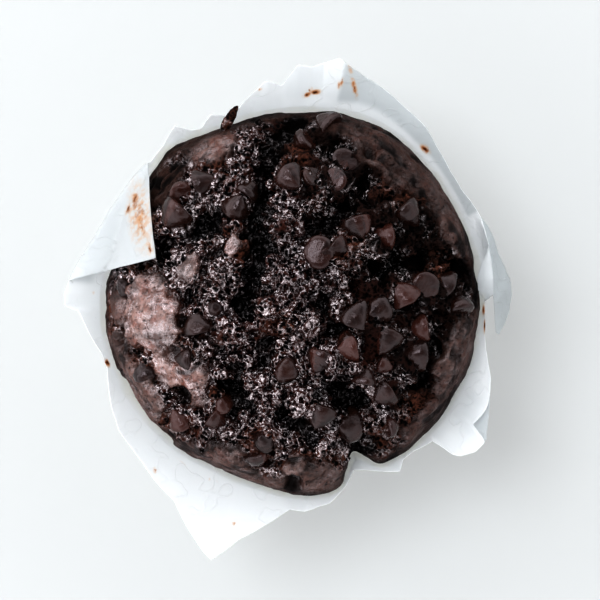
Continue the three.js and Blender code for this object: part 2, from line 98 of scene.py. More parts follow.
def cloud(points: Points, size: float, seed: int) -> Values:
    """Smooth noise whose swells are about size wide.

    Args:
        points: Places in space.
        size: Usual width of a swell.
        seed: Another seed gives other noise.

    Returns:
        A number from -1 to 1 for each point.
    """
    scaled = points / size
    base = np.floor(scaled).astype(np.int64)
    part = scaled - base
    part = part * part * (3.0 - 2.0 * part)
    total = np.zeros(len(points))
    for corner in np.ndindex(2, 2, 2):
        offset = np.array(corner)
        weight = np.prod(np.where(offset == 1, part, 1.0 - part), axis=1)
        total += weight * cell_chance(base + offset, seed)
    return total * 2.0 - 1.0


def clouds(points: Points, size: float, seed: int, layers: int) -> Values:
    """Layers of smooth noise, each half as wide and about half as strong as the last.

    Args:
        points: Places in space.
        size: Usual width of the broadest swells.
        seed: Another seed gives other noise.
        layers: How many layers there are.

    Returns:
        A number from -1 to 1 for each point.
    """
    shares = [0.55**i for i in range(layers)]
    total = sum(s * cloud(points, size * 0.5**i, seed + 31 * i) for i, s in enumerate(shares))
    return total / sum(shares)


def lumps(points: Points, size: float, seed: int) -> tuple[Values, Values]:
    """Rounded lumps about size wide, as crumbs that lie against each other.

    Args:
        points: Places in space.
        size: Usual distance between the middles of two lumps.
        seed: Another seed gives other lumps.

    Returns:
        The height, from about 0 in the gaps to 1 on a lump's top, and a chance from 0 to 1 for each
        point that is the same all over one lump.
    """
    scaled = points / size
    base = np.floor(scaled).astype(np.int64)
    nearest = np.full(len(points), 9.0)
    chance = np.zeros(len(points))
    for step in np.ndindex(3, 3, 3):
        cell = base + np.array(step) - 1
        middle = cell + np.stack([cell_chance(cell, seed + k) for k in range(3)], axis=1)
        distance = np.sum((scaled - middle) ** 2, axis=1)
        closer = distance < nearest
        nearest = np.where(closer, distance, nearest)
        chance = np.where(closer, cell_chance(cell, seed + 3), chance)
    return np.clip(1.0 - nearest / 0.62, 0.0, 1.0), chance


def route_distance(x: Values, y: Values, route: Sequence[tuple[float, float]]) -> Values:
    """How far each place is from a route of straight stretches.

    Args:
        x: The places' x.
        y: The places' y.
        route: The route's corners.

    Returns:
        The distance of each place.
    """
    least = np.full(len(x), np.inf)
    for (ax, ay), (bx, by) in zip(route, route[1:]):
        along = ((x - ax) * (bx - ax) + (y - ay) * (by - ay)) / ((bx - ax) ** 2 + (by - ay) ** 2)
        t = np.clip(along, 0.0, 1.0)
        least = np.minimum(least, np.hypot(x - ax - t * (bx - ax), y - ay - t * (by - ay)))
    return least


def turn_between(a: Values, b: float) -> Values:
    """Shortest turn from direction b to each direction a, in degrees."""
    return (np.asarray(a) - b + 540.0) % 360.0 - 180.0


# Helpers for meshes and materials


def mesh_points(mesh: bpy.types.Mesh) -> Points:
    """Reads where a mesh's vertices are.

    Args:
        mesh: The mesh.

    Returns:
        The place of each vertex.
    """
    flat = np.zeros(len(mesh.vertices) * 3)
    mesh.vertices.foreach_get("co", flat)
    return flat.reshape(-1, 3)


def move_points(mesh: bpy.types.Mesh, points: Points) -> None:
    """Puts a mesh's vertices at new places."""
    mesh.vertices.foreach_set("co", np.ascontiguousarray(points, float).ravel())
    mesh.update()


def point_normals(mesh: bpy.types.Mesh) -> Points:
    """Reads which way is out of the surface at each vertex.

    Args:
        mesh: The mesh.

    Returns:
        One direction of length 1 for each vertex.
    """
    flat = np.zeros(len(mesh.vertices) * 3)
    mesh.vertex_normals.foreach_get("vector", flat)
    return flat.reshape(-1, 3)


def store(mesh: bpy.types.Mesh, name: str, values: Values) -> None:
    """Keeps one number for each vertex, for the materials to read."""
    attribute = mesh.attributes.new(name, "FLOAT", "POINT")
    attribute.data.foreach_set("value", np.asarray(values, np.float32))


def finish_piece(mesh: bpy.types.Mesh, name: str, material: bpy.types.Material) -> bpy.types.Object:
    """Turns a finished mesh into a smooth-shaded piece that rides on the muffin's one body.

    Args:
        mesh: The mesh, in metres.
        name: The piece's name.
        material: The piece's finish.

    Returns:
        The piece.
    """
    mesh.name = name
    mesh.materials.clear()
    mesh.materials.append(material)
    mesh.shade_smooth()
    piece = bpy.data.objects.new(name, mesh)
    bpy.context.scene.collection.objects.link(piece)
    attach(piece, "root")
    log.info("%s: %d vertices, %d faces", name, len(mesh.vertices), len(mesh.polygons))
    return piece


def mesh_from(build: bmesh.types.BMesh, name: str) -> bpy.types.Mesh:
    """Writes a bmesh to a new mesh and frees it.

    Args:
        build: The bmesh.
        name: The mesh's name.

    Returns:
        The mesh.
    """
    mesh = bpy.data.meshes.new(name)
    build.to_mesh(mesh)
    build.free()
    return mesh


def linear(colour: str) -> tuple[float, float, float, float]:
    """Turns an sRGB hex colour to linear light.

    Args:
        colour: The colour, as #rrggbb.

    Returns:
        Red, green, blue and an alpha of 1.
    """
    parts = [int(colour.lstrip("#")[i : i + 2], 16) / 255 for i in (0, 2, 4)]
    light = [p / 12.92 if p <= 0.04045 else ((p + 0.055) / 1.055) ** 2.4 for p in parts]
    return (light[0], light[1], light[2], 1.0)


def per_metre(size_mm: float) -> float:
    """The texture scale that makes a pattern repeat about every size_mm."""
    return 1.0 / (size_mm * MM)


def add_node(
    tree: bpy.types.NodeTree,
    kind: str,
    settings: dict[str, object] | None = None,
    links: dict[int | str, object] | Sequence[object] = (),
    out: int | str = 0,
) -> bpy.types.NodeSocket | None:
    """Adds a shader node with its settings, and feeds its inputs.

    Args:
        tree: The material's or world's node tree.
        kind: The node's class, such as ShaderNodeMix.
        settings: Values for the node's own properties.
        links: For each input a value or the socket that feeds it, by name or number, or as a plain row for
            the first inputs.
        out: The output that is wanted, by name or number.

    Returns:
        The wanted output, or None where the node has no outputs.
    """
    node = tree.nodes.new(kind)
    for key, value in (settings or {}).items():
        setattr(node, key, value)
    for key, value in links.items() if isinstance(links, dict) else enumerate(links):
        if isinstance(value, bpy.types.NodeSocket):
            tree.links.new(value, node.inputs[key])
        else:
            node.inputs[key].default_value = value
    return node.outputs[out] if node.outputs else None


def blank_material(name: str) -> tuple[bpy.types.Material, bpy.types.NodeTree]:
    """Starts a material.

    Args:
        name: The material's name.

    Returns:
        The material and its empty node tree.
    """
    material = bpy.data.materials.new(name)
    material.use_nodes = True
    material.node_tree.nodes.clear()
    return material, material.node_tree


def swells(place: bpy.types.NodeSocket, size_mm: float, detail: float = 3.0) -> dict[str, object]:
    """What a noise texture is fed with, for swells about size_mm wide."""
    return {"Vector": place, "Scale": per_metre(size_mm), "Detail": detail, "Roughness": 0.6}


def painted(tree: bpy.types.NodeTree, base: object, coats: Sequence[tuple[object, object]]) -> object:
    """Lays coats of colour over a base.

    Args:
        tree: The material's node tree.
        base: The colour under all coats, or the socket that gives it.
        coats: For each coat how far it covers, from 0 to 1, and its colour. Both may be sockets.

    Returns:
        The socket with the finished colour.
    """
    for share, coat in coats:
        base = add_node(tree, "ShaderNodeMix", {"data_type": "RGBA"}, {0: share, 6: base, 7: coat}, 2)
    return base


# The muffin's form, as in its solids

RIM_LOBES = (
    # Where the rim bulges out or draws in, as (direction in degrees, half width in degrees, amount)
    (66, 22, 2.1),
    (128, 9, 2.0),
    (163, 8, -1.3),
    (222, 10, -0.5),
    (245, 14, -1.3),
    (276, 10, 1.9),
    (292, 4.5, -5.2),
)
PUFFS = (
    # Rounded swellings of the crown as (x, y, radius)
    (-31, -5, 8.3), (-20, -15, 7), (-24, -31, 8), (-12.5, -35.5, 7), (2.5, -38, 9), (10, -41, 6),
    (24, -31, 7.5), (32, -24.5, 7), (38.5, -14, 7), (41, -2.5, 6), (36, 15, 7.5), (29.5, 25.5, 8),
    (19.5, 35, 8.5), (10, 42, 6), (-6, 41, 7), (-16.5, 34, 8), (-27.5, 26.5, 7), (-27, 19, 5),
    (-12.5, 13.5, 6), (-23.5, 8.5, 7), (-14.5, 2.5, 6), (-1.5, 18.5, 7.5), (0, 30.5, 6.5), (8, 26, 6),
    (-2.5, 7, 6.5), (-1.5, -4.5, 8), (-12, -10.5, 6), (-7.5, -23, 7), (2.5, -23.5, 5.5), (8, 5, 6),
    (17.5, 10, 6.5), (22.5, 22, 6.5), (21, 3.5, 6), (30, 3.5, 6), (13.5, -15, 6.5), (25, -17.5, 6),
    (17.5, -5.5, 6), (-37, -15, 6), (-39.5, -6.5, 5.5), (-34, -24.5, 6), (-4.5, -33, 5.5),
    (-35.5, 3.5, 5),
)
SPLITS = (
    # Broad splits in the crown as (depth, width, route)
    (5.0, 2.2, ((2, 44), (-4, 38), (-6.5, 29.5), (-8, 19.5), (-9, 8.5), (-11.5, -1.5))),
    (4.0, 2.0, ((-8, 20), (-16, 20.5), (-23.5, 16.5), (-30, 12))),
    (4.0, 2.0, ((13, 23.5), (8.5, 18.5), (1.5, 15))),
    (3.5, 2.0, ((7, 7), (7.5, -1.5), (9.5, -6.5))),
    (4.0, 2.2, ((30, 10.5), (22.5, 7), (15, 3.5))),
    (4.0, 2.6, ((37, 10), (42, 7))),
    (5.5, 2.2, ((11, -21), (16, -26), (17.5, -31), (16, -36.5), (15.5, -41))),
    (3.0, 1.6, ((26.5, -24), (30.5, -19), (32.5, -10))),
    (3.0, 1.8, ((-15, -26), (-13.5, -20), (-11.5, -15))),
    (2.5, 1.8, ((8, 36.5), (13, 31), (17.5, 28))),
    (3.0, 1.8, ((-1, -26), (5, -30.5))),
)
CRACKS = (
    # Fine cracks in the crust as (depth, width, route)
    (2.4, 0.8, ((-39.6, 0.5), (-40.6, -3.5), (-40.0, -7.0), (-40.8, -10.5))),
    (1.6, 0.6, ((-41.5, -17.0), (-38.6, -23.5), (-34.5, -29.0), (-29.5, -33.5))),
    (1.8, 0.7, ((-20.5, 37.5), (-26.0, 34.0), (-30.5, 29.5), (-33.0, 25.0))),
    (1.4, 0.6, ((20.5, 33.5), (27.0, 29.0), (32.5, 22.5), (35.5, 15.0))),
    (1.2, 0.5, ((24.0, 27.5), (29.5, 21.0), (34.0, 15.5))),
    (1.6, 0.7, ((-12.5, -37.0), (-6.0, -38.5), (0.5, -37.0), (6.0, -37.5))),
)
HOLLOWS = (
    # Burst bubbles and gaps beside chips as (x, y, width, depth)
    (-25.2, -4.2, 3.8, 3.0),
    (-27.5, -12.5, 5, 2.5),
    (-26, -22, 5.5, 3),
    (0.5, -43, 5, 3.5),
    (-36.5, -12.5, 4, 3),
    (18.5, 35, 4, 2.5),
    (-15.5, -20, 5, 3),
)
BUBBLES = (
    # Bubbles in the torn crumb as (size, seed, share of the cells that hold one, depth)
    (3.4, 307, 0.4, 2.0),
    (2.0, 317, 0.5, 1.1),
    (1.3, 327, 0.6, 0.6),
)
PITS = (
    # Burst bubbles in the crust as (size, seed, share of the cells that hold one)
    (3.4, 401, 0.3),
    (1.8, 431, 0.45),
)
CHIPS = (
    # Chips as (x, y, width, the tip's heading, its lean from upright), both in degrees
    (-22, -5, 7.5, 100, 80), (-24.5, -13, 6, 180, 80), (-34, -16, 5.5, 90, 80), (-26, -27, 7, 100, 80),
    (-17.5, -27.5, 6.5, 320, 85), (-16.5, -23.5, 5.5, 90, 60), (-8, -36, 6.5, 280, 80),
    (-6.5, -31.5, 6.5, 100, 50), (-1, -15, 6.5, 95, 50), (6.5, -13.5, 8, 250, 75),
    (12.5, -10.5, 7.5, 195, 85), (15, -3, 8, 70, 70), (19.5, -2, 7, 200, 60), (21.5, -9, 8, 240, 75),
    (25.5, 2, 7.5, 130, 80), (30, -6, 7, 190, 115), (29, -12.5, 8, 180, 100), (36, 4.5, 6.5, 160, 100),
    (39, -0.5, 6.5, 80, 120), (21.5, 15.5, 7, 180, 100), (16, 17, 8.5, 285, 85), (6.5, 11.5, 7.5, 30, 170),
    (11, 12.5, 6.5, 320, 85), (0, 28, 7.5, 300, 70), (4.5, 28.5, 6, 200, 150), (10, 28, 6, 30, 150),
    (13, 33.5, 6.5, 60, 165), (2.5, 38, 6.5, 200, 130), (8.2, 42, 7, 120, 85),
    (-20.5, 28, 7, 10, 85), (-25.5, 25.5, 6.5, 120, 105), (-27, 20, 9, 230, 85), (-13, 23, 7, 45, 40),
    (-10, 26.5, 6, 60, 80), (-17.5, -1, 4.5, 90, 20), (16.5, -17, 6, 80, 100), (21.5, -21.5, 7.5, 215, 85),
    (6.5, -26.5, 7.5, 250, 60), (13.5, -29.5, 8, 150, 60), (21.5, -14.5, 5, 340, 70),
    (-39.5, 4, 5.5, 90, 30), (23, -28.5, 5, 0, 90), (30.5, 4, 6.5, 60, 160), (27, 20.5, 8, 315, 90),
)


@dataclass
class Crown:
    """The muffin's crown: a split dome with a rounded underside, and the body under it.

    A place on it is a direction round the axis and a climb, which runs from 0 at the top over a right
    angle at the rim to two right angles under the crown.
    """

    radius: float = 45.3
    rim_height: float = 49.0
    rise: float = 26.0
    under_drop: float = 14.0
    puff_rise: float = 0.3
    deepest: float = 5.5
    slope_power: float = 0.91  # how fast the dome's reach grows with the climb
    under_power: float = 0.8
    dome_fullness: float = 2.2
    dome_roundness: float = 0.6

    def rim(self, theta: Values) -> Values:
        """The crown's radius in each direction.

        Args:
            theta: Directions round the axis, in radians.

        Returns:
            The radius in each.
        """
        degrees = np.degrees(theta)
        return self.radius + sum(
            amount * np.exp(-((turn_between(degrees, at) / width) ** 2)) for at, width, amount in RIM_LOBES
        )

    def dome(self, share: Values) -> Values:
        """The dome's height at each share of the way from the axis to the rim."""
        left = np.maximum(0.0, 1.0 - np.abs(share) ** self.dome_fullness)
        return self.rim_height + self.rise * left**self.dome_roundness

    def place(self, theta: Values, climb: Values) -> tuple[Points, Points]:
        """The plain crown's points and the ways out of it.

        Args:
            theta: Directions round the axis, in radians.
            climb: Climbs, in radians.

        Returns:
            The points, and a direction of length 1 out of the crown at each.
        """
        above = climb <= math.pi / 2
        share = np.sin(climb) ** np.where(above, self.slope_power, self.under_power)
        radius = self.rim(theta)
        z = np.where(above, self.dome(share), self.rim_height + self.under_drop * np.cos(climb))
        rise = np.where(above, self.rise, self.under_drop)
        cos, sin = np.cos(theta), np.sin(theta)
        points = np.stack([cos * share * radius, sin * share * radius, z], axis=1)
        out = np.stack([cos * share / radius, sin * share / radius, np.cos(climb) / rise], axis=1)
        return points, unit(out)

    def relief(self, x: Values, y: Values) -> Values:
        """How far the puffs and splits stand out from the plain dome.

        Args:
            x: The places' x.
            y: The places' y.

        Returns:
            The height of each place, negative in the splits.
        """
        height = np.zeros(len(x))
        for px, py, radius in PUFFS:
            share = 1.0 - ((x - px) ** 2 + (y - py) ** 2) / radius**2
            height = np.maximum(height, self.puff_rise * radius * share)
        for depth, width, route in SPLITS:
            height -= depth * np.exp(-((route_distance(x, y, route) / width) ** 2))
        return np.maximum(height, -self.deepest)

    def hollow(self, x: Values, y: Values) -> Values:
        """How deep the hollows are.

        Args:
            x: The places' x.
            y: The places' y.

        Returns:
            The depth at each place.
        """
        depth = np.zeros(len(x))
        for hx, hy, width, deep in HOLLOWS:
            share = 1.0 - ((x - hx) ** 2 + (y - hy) ** 2) / (width / 2) ** 2
            depth = np.maximum(depth, deep * np.sqrt(np.clip(share, 0.0, 1.0)))
        return depth

    def rim_fade(self, climb: Values) -> Values:
        """How strong the relief is: full on top, a quarter at the rim and none under it.

        Args:
            climb: Climbs, in radians.

        Returns:
            The relief's strength at each climb, from 0 to 1.
        """
        share = np.sin(np.minimum(climb, math.pi / 2)) ** self.slope_power
        top = 1.0 - 0.75 * smooth(share, 0.86, 1.0)
        under = 0.25 * np.clip(1.0 - (climb - math.pi / 2) * 4.0, 0.0, 1.0)
        return np.where(climb <= math.pi / 2, top, under)


CRUSTS = (
    # Smooth plates of crust as (x, y, half length, half width, turn in degrees, shine)
    (-32.5, -4.5, 10.5, 7.5, 110, 1.0),
    (-27.0, -15.0, 9.0, 5.5, 130, 1.0),
    (-41.5, -12.0, 6.0, 2.5, 105, 0.2),
    (-41.0, 0.0, 6.0, 2.2, 92, 0.3),
    (-36.0, -21.0, 9.0, 5.0, 125, 0.5),
    (4.0, -40.5, 8.0, 4.5, 0, 0.35),
    (-15.0, -39.5, 13.0, 3.0, 155, 0.4),
    (24.0, 34.0, 16.0, 6.0, 140, 0.12),
    (38.0, 19.0, 14.0, 4.5, 118, 0.2),
    (12.0, 42.0, 8.0, 3.5, 170, 0.0),
    (-33.0, 27.5, 10.0, 6.0, 50, 0.0),
    (-24.0, 7.5, 4.5, 3.0, 80, 0.8),
    (39.0, -14.0, 12.0, 5.5, 75, 0.3),
    (32.0, -28.0, 9.0, 3.5, 50, 0.2),
    (-20.0, 39.0, 8.0, 3.0, 30, 0.0),
    (-18.5, 36.0, 6.5, 3.0, 22, 0.45),
    (-13.5, 13.0, 3.6, 2.4, 60, 0.9),
    (-15.0, -36.0, 6.0, 2.5, 150, 0.4),
)
TAN_SPOTS = (
    # Browner, drier crumb as (x, y, radius)
    (-19, 36, 8), (-31, -7, 11), (-38, -14, 8), (-28, -33, 8), (5, -41, 11), (-8, -37, 6), (1, 33, 5),
    (26, 28, 7), (-11.5, 14, 6), (-4, -5, 6), (20, -33, 6), (34, 8, 5), (-16, -22, 4), (-42, -1, 6),
    (-43, -9, 5), (-37, 6, 5), (12, 12, 5), (-8, -32, 5), (29, -24, 6),
)


@dataclass(frozen=True)
class BakedCrumb:
    """Baked chocolate crumb: open-pored and moist inside, so it glistens in fine points, under a dry crust.

    The crust is smooth, browner and satin, because its sugar and fat have dried and set.
    """

    # Crumb colours where moist and lit, and in painted shade on the right, away from the light
    moist_lit: str = "#32140c"
    shaded: str = "#110705"
    dry: str = "#5e3628"
    crust: str = "#2c1812"
    crust_dark: str = "#150a07"
    # Paler crust where it shines: partly its own colour, partly painted sheen
    crust_pale_sheen: str = "#7c5a50"
    rust: str = "#6a331e"
    # Painted shade: near black, laid in deep gaps and fine hollows
    gap: str = "#030202"
    darkest: float = 0.85  # how far the painted shade in a gap turns the surface to black
    film: tuple[float, float, float, float] = (1.0, 0.9, 0.93, 1.0)
    film_share: float = 0.35
    film_roughness: float = 0.27
    crumb_roughness: float = 0.7
    crust_roughness: float = 0.6
    satin_roughness: float = 0.45
    specular: float = 0.08  # low, because the film gives the gloss
    grain_mm: float = 1.2
    grain_depth_mm: float = 0.75
    swell_mm: float = 2.6
    swell_weight: float = 1.6
    pore_mm: float = 1.0
    pore_weight: float = 0.9
    wrinkle_mm: float = 0.8
    wrinkle_depth_mm: float = 0.45
    speckle_mm: float = 1.0
    patch_mm: float = 5.0
    streak_mm: float = 2.6
    mottle_mm: float = 6.0
    fleck_mm: float = 0.8
    rust_mm: float = 3.4

    def material(self) -> bpy.types.Material:
        """Builds the crumb's material from the mesh's crust, shine, moisture and painted shade, tan and
        depth.

        Returns:
            The finished material.
        """
        material, tree = blank_material("baked_chocolate_crumb")
        place = add_node(tree, "ShaderNodeTexCoord", out="Object")
        marks = {
            name: add_node(tree, "ShaderNodeAttribute", {"attribute_name": name}, out="Fac")
            for name in ("crust", "shine", "wet_and_lit", "tan", "deep")
        }
        normal, hollow = self.bump(tree, place, marks["crust"])
        dark = add_node(tree, "ShaderNodeMath", {"operation": "MAXIMUM"}, (marks["deep"], hollow))
        crust_row = (marks["shine"], 0.0, 1.0, self.crust_roughness, self.satin_roughness)
        satin = add_node(tree, "ShaderNodeMapRange", None, crust_row)
        roughness_row = {0: marks["crust"], 2: self.crumb_roughness, 3: satin}
        baked = add_node(
            tree,
            "ShaderNodeBsdfPrincipled",
            None,
            {
                "Base Color": self.colour(tree, place, marks, dark),
                "Roughness": add_node(tree, "ShaderNodeMix", None, roughness_row),
                "IOR": 1.5,
                "Specular IOR Level": self.specular,
                "Normal": normal,
            },
        )
        film_row = {"Color": self.film, "Roughness": self.film_roughness, "Normal": normal}
        film = add_node(tree, "ShaderNodeBsdfGlossy", None, film_row)
        wet_and_lit = self.wetness(tree, place, marks, hollow)
        moist_lit = add_node(tree, "ShaderNodeMixShader", None, (wet_and_lit, baked, film))
        # Painted shade: deep gaps and fine hollows are mixed toward a black diffuse surface
        unlit = add_node(tree, "ShaderNodeBsdfDiffuse", None, {"Color": linear(self.gap)})
        swallowed = add_node(tree, "ShaderNodeMapRange", None, (dark, 0.0, 1.0, 0.0, self.darkest))
        surface = add_node(tree, "ShaderNodeMixShader", None, (swallowed, moist_lit, unlit))
        add_node(tree, "ShaderNodeOutputMaterial", None, {"Surface": surface})
        return material

    def wetness(
        self,
        tree: bpy.types.NodeTree,
        place: bpy.types.NodeSocket,
        marks: dict[str, bpy.types.NodeSocket],
        hollow: bpy.types.NodeSocket,
    ) -> bpy.types.NodeSocket:
        """Where the thin film of fat and syrup shows: in fine points on the crumb, in streaks on the crust.

        Args:
            tree: The material's node tree.
            place: Where each point of the piece lies.
            marks: What the mesh keeps, by name.
            hollow: How far each point lies in a fine hollow.

        Returns:
            The film's share, from 0 to film_share.
        """
        points = add_node(tree, "ShaderNodeTexNoise", None, swells(place, self.speckle_mm, 2.0))
        points = add_node(tree, "ShaderNodeMapRange", None, (points, 0.4, 0.52))
        wet_and_lit_shift = add_node(tree, "ShaderNodeMapRange", None, (marks["wet_and_lit"], 0.0, 1.0, -0.2, 0.08))
        patch = add_node(tree, "ShaderNodeTexNoise", None, swells(place, self.patch_mm, 2.0))
        patch = add_node(tree, "ShaderNodeMath", {"operation": "ADD"}, (patch, wet_and_lit_shift))
        patch = add_node(tree, "ShaderNodeMapRange", None, (patch, 0.36, 0.56))
        points = add_node(tree, "ShaderNodeMath", {"operation": "MULTIPLY"}, (points, patch))
        streaks = add_node(tree, "ShaderNodeTexNoise", None, swells(place, self.streak_mm, 5.0))
        streaks = add_node(tree, "ShaderNodeMapRange", None, (streaks, 0.42, 0.64, 0.25, 0.95))
        glaze = add_node(tree, "ShaderNodeMath", {"operation": "MULTIPLY"}, (marks["shine"], streaks))
        film = add_node(tree, "ShaderNodeMix", None, {0: marks["crust"], 2: points, 3: glaze})
        raised = add_node(tree, "ShaderNodeMapRange", None, (hollow, 0.0, 1.0, self.film_share, 0.0))
        return add_node(tree, "ShaderNodeMath", {"operation": "MULTIPLY"}, (film, raised))

    def colour(
        self,
        tree: bpy.types.NodeTree,
        place: bpy.types.NodeSocket,
        marks: dict[str, bpy.types.NodeSocket],
        dark: bpy.types.NodeSocket,
    ) -> bpy.types.NodeSocket:
        """The crumb's colour: nearly black where moist, darker as painted shade on the right and in gaps,
        brown where dry, rusty in parts of crust and paler where the crust shines, partly as painted sheen.

        Args:
            tree: The material's node tree.
            place: Where each point of the piece lies.
            marks: What the mesh keeps, by name.
            dark: How deep each point lies in a gap, from 0 to 1, and so how far it is painted as shade.

        Returns:
            The socket with the colour.
        """
        mottle = add_node(tree, "ShaderNodeTexNoise", None, swells(place, self.mottle_mm, 5.0))
        mottle = add_node(tree, "ShaderNodeMapRange", None, (mottle, 0.3, 0.6, 0.25))
        fleck = add_node(tree, "ShaderNodeTexNoise", None, swells(place, self.fleck_mm, 2.0))
        dried = add_node(tree, "ShaderNodeMapRange", None, (fleck, 0.35, 0.7, 0.15))
        dried = add_node(tree, "ShaderNodeMath", {"operation": "MULTIPLY"}, (marks["tan"], dried))
        # Painted shade: where the moisture mark is low, on the right, the crumb takes the shaded colour
        crumb = painted(
            tree, linear(self.shaded), ((marks["wet_and_lit"], linear(self.moist_lit)), (dried, linear(self.dry)))
        )
        rusty = add_node(tree, "ShaderNodeTexNoise", None, swells(place, self.rust_mm, 5.0))
        rusty = add_node(tree, "ShaderNodeMapRange", None, (rusty, 0.45, 0.6, 0.0, 0.9))
        # Paler where the crust shines: partly its own colour, partly painted sheen
        satin = painted(tree, linear(self.crust_pale_sheen), ((rusty, linear(self.rust)),))
        pale = painted(tree, linear(self.crust), ((marks["shine"], satin),))
        spots = add_node(tree, "ShaderNodeMapRange", None, (fleck, 0.3, 0.55, 0.6))
        spots = add_node(tree, "ShaderNodeMath", {"operation": "MULTIPLY"}, (mottle, spots))
        plate = painted(tree, linear(self.crust_dark), ((spots, pale),))
        return painted(tree, crumb, ((marks["crust"], plate), (dark, linear(self.gap))))

    def bump(
        self, tree: bpy.types.NodeTree, place: bpy.types.NodeSocket, crust: bpy.types.NodeSocket
    ) -> tuple[bpy.types.NodeSocket, bpy.types.NodeSocket]:
        """The finest relief: sharp grains in the crumb, wrinkles and pinholes in the crust.

        Args:
            tree: The material's node tree.
            place: Where each point of the piece lies.
            crust: How far each point is crust.

        Returns:
            The bent normal, and how far each point lies in a fine hollow, from 0 to 1, where the colour is
            painted as shade.
        """
        grain = add_node(tree, "ShaderNodeTexNoise", None, swells(place, self.grain_mm, 1.5))
        swell = add_node(tree, "ShaderNodeTexNoise", None, swells(place, self.swell_mm, 2.0))
        cell_row = {"Vector": place, "Scale": per_metre(self.pore_mm)}
        cells = add_node(tree, "ShaderNodeTexVoronoi", None, cell_row, "Distance")
        facets = grain
        for layer, weight in ((swell, self.swell_weight), (cells, self.pore_weight)):
            row = (layer, weight, facets)
            facets = add_node(tree, "ShaderNodeMath", {"operation": "MULTIPLY_ADD"}, row)
        creases = add_node(tree, "ShaderNodeTexNoise", None, swells(place, self.wrinkle_mm, 4.0))
        pinholes = add_node(tree, "ShaderNodeMapRange", None, (cells, 0.0, 0.35, 0.0, 0.3))
        wrinkles = add_node(tree, "ShaderNodeMath", {"operation": "ADD"}, (creases, pinholes))
        rough, fine = (
            add_node(tree, "ShaderNodeBump", None, {"Strength": 1.0, "Distance": depth, "Height": height})
            for depth, height in ((self.grain_depth_mm * MM, facets), (self.wrinkle_depth_mm * MM, wrinkles))
        )
        normal = add_node(tree, "ShaderNodeMix", {"data_type": "VECTOR"}, {0: crust, 4: rough, 5: fine}, 1)
        # Painted shade: where the fine relief lies low, the colour is darkened and the film thinned
        low_grain = add_node(tree, "ShaderNodeMapRange", None, (facets, 1.45, 1.8, 1.0, 0.0))
        low_wrinkle = add_node(tree, "ShaderNodeMapRange", None, (wrinkles, 0.45, 0.75, 0.6, 0.0))
        hollow = add_node(tree, "ShaderNodeMix", None, {0: crust, 2: low_grain, 3: low_wrinkle})
        return normal, hollow


@dataclass(frozen=True)
class DarkChocolate:
    """Baked dark chocolate: cocoa butter that melted and set again, so a soft satin with a faint bloom."""

    dark: str = "#150907"
    bloomed: str = "#25120c"
    milk: str = "#40211a"
    gloss: tuple[float, float, float, float] = (1.0, 0.86, 0.9, 1.0)
    specular: float = 0.42
    bloom_mm: float = 3.0
    polish_mm: float = 1.5
    dent_mm: float = 1.4
    dent_depth_mm: float = 0.35

    def material(self) -> bpy.types.Material:
        """Builds the chips' material, which reads milk from the mesh.

        Returns:
            The finished material.
        """
        material, tree = blank_material("dark_chocolate")
        place = add_node(tree, "ShaderNodeTexCoord", out="Object")
        milk = add_node(tree, "ShaderNodeAttribute", {"attribute_name": "milk"}, out="Fac")
        bloom = add_node(tree, "ShaderNodeTexNoise", None, swells(place, self.bloom_mm, 4.0))
        bloom = add_node(tree, "ShaderNodeMapRange", None, (bloom, 0.4, 0.7))
        polish = add_node(tree, "ShaderNodeTexNoise", None, swells(place, self.polish_mm))
        dents = add_node(tree, "ShaderNodeTexNoise", None, swells(place, self.dent_mm, 4.0))
        dent_row = {"Strength": 0.5, "Distance": self.dent_depth_mm * MM, "Height": dents}
        shader = add_node(
            tree,
            "ShaderNodeBsdfPrincipled",
            None,
            {
                "Base Color": painted(
                    tree, linear(self.dark), ((bloom, linear(self.bloomed)), (milk, linear(self.milk)))
                ),
                "Roughness": add_node(tree, "ShaderNodeMapRange", None, (polish, 0.3, 0.7, 0.14, 0.28)),
                "IOR": 1.5,
                "Specular IOR Level": self.specular,
                "Specular Tint": self.gloss,
                "Normal": add_node(tree, "ShaderNodeBump", None, dent_row),
            },
        )
        add_node(tree, "ShaderNodeOutputMaterial", None, {"Surface": shader})
        return material


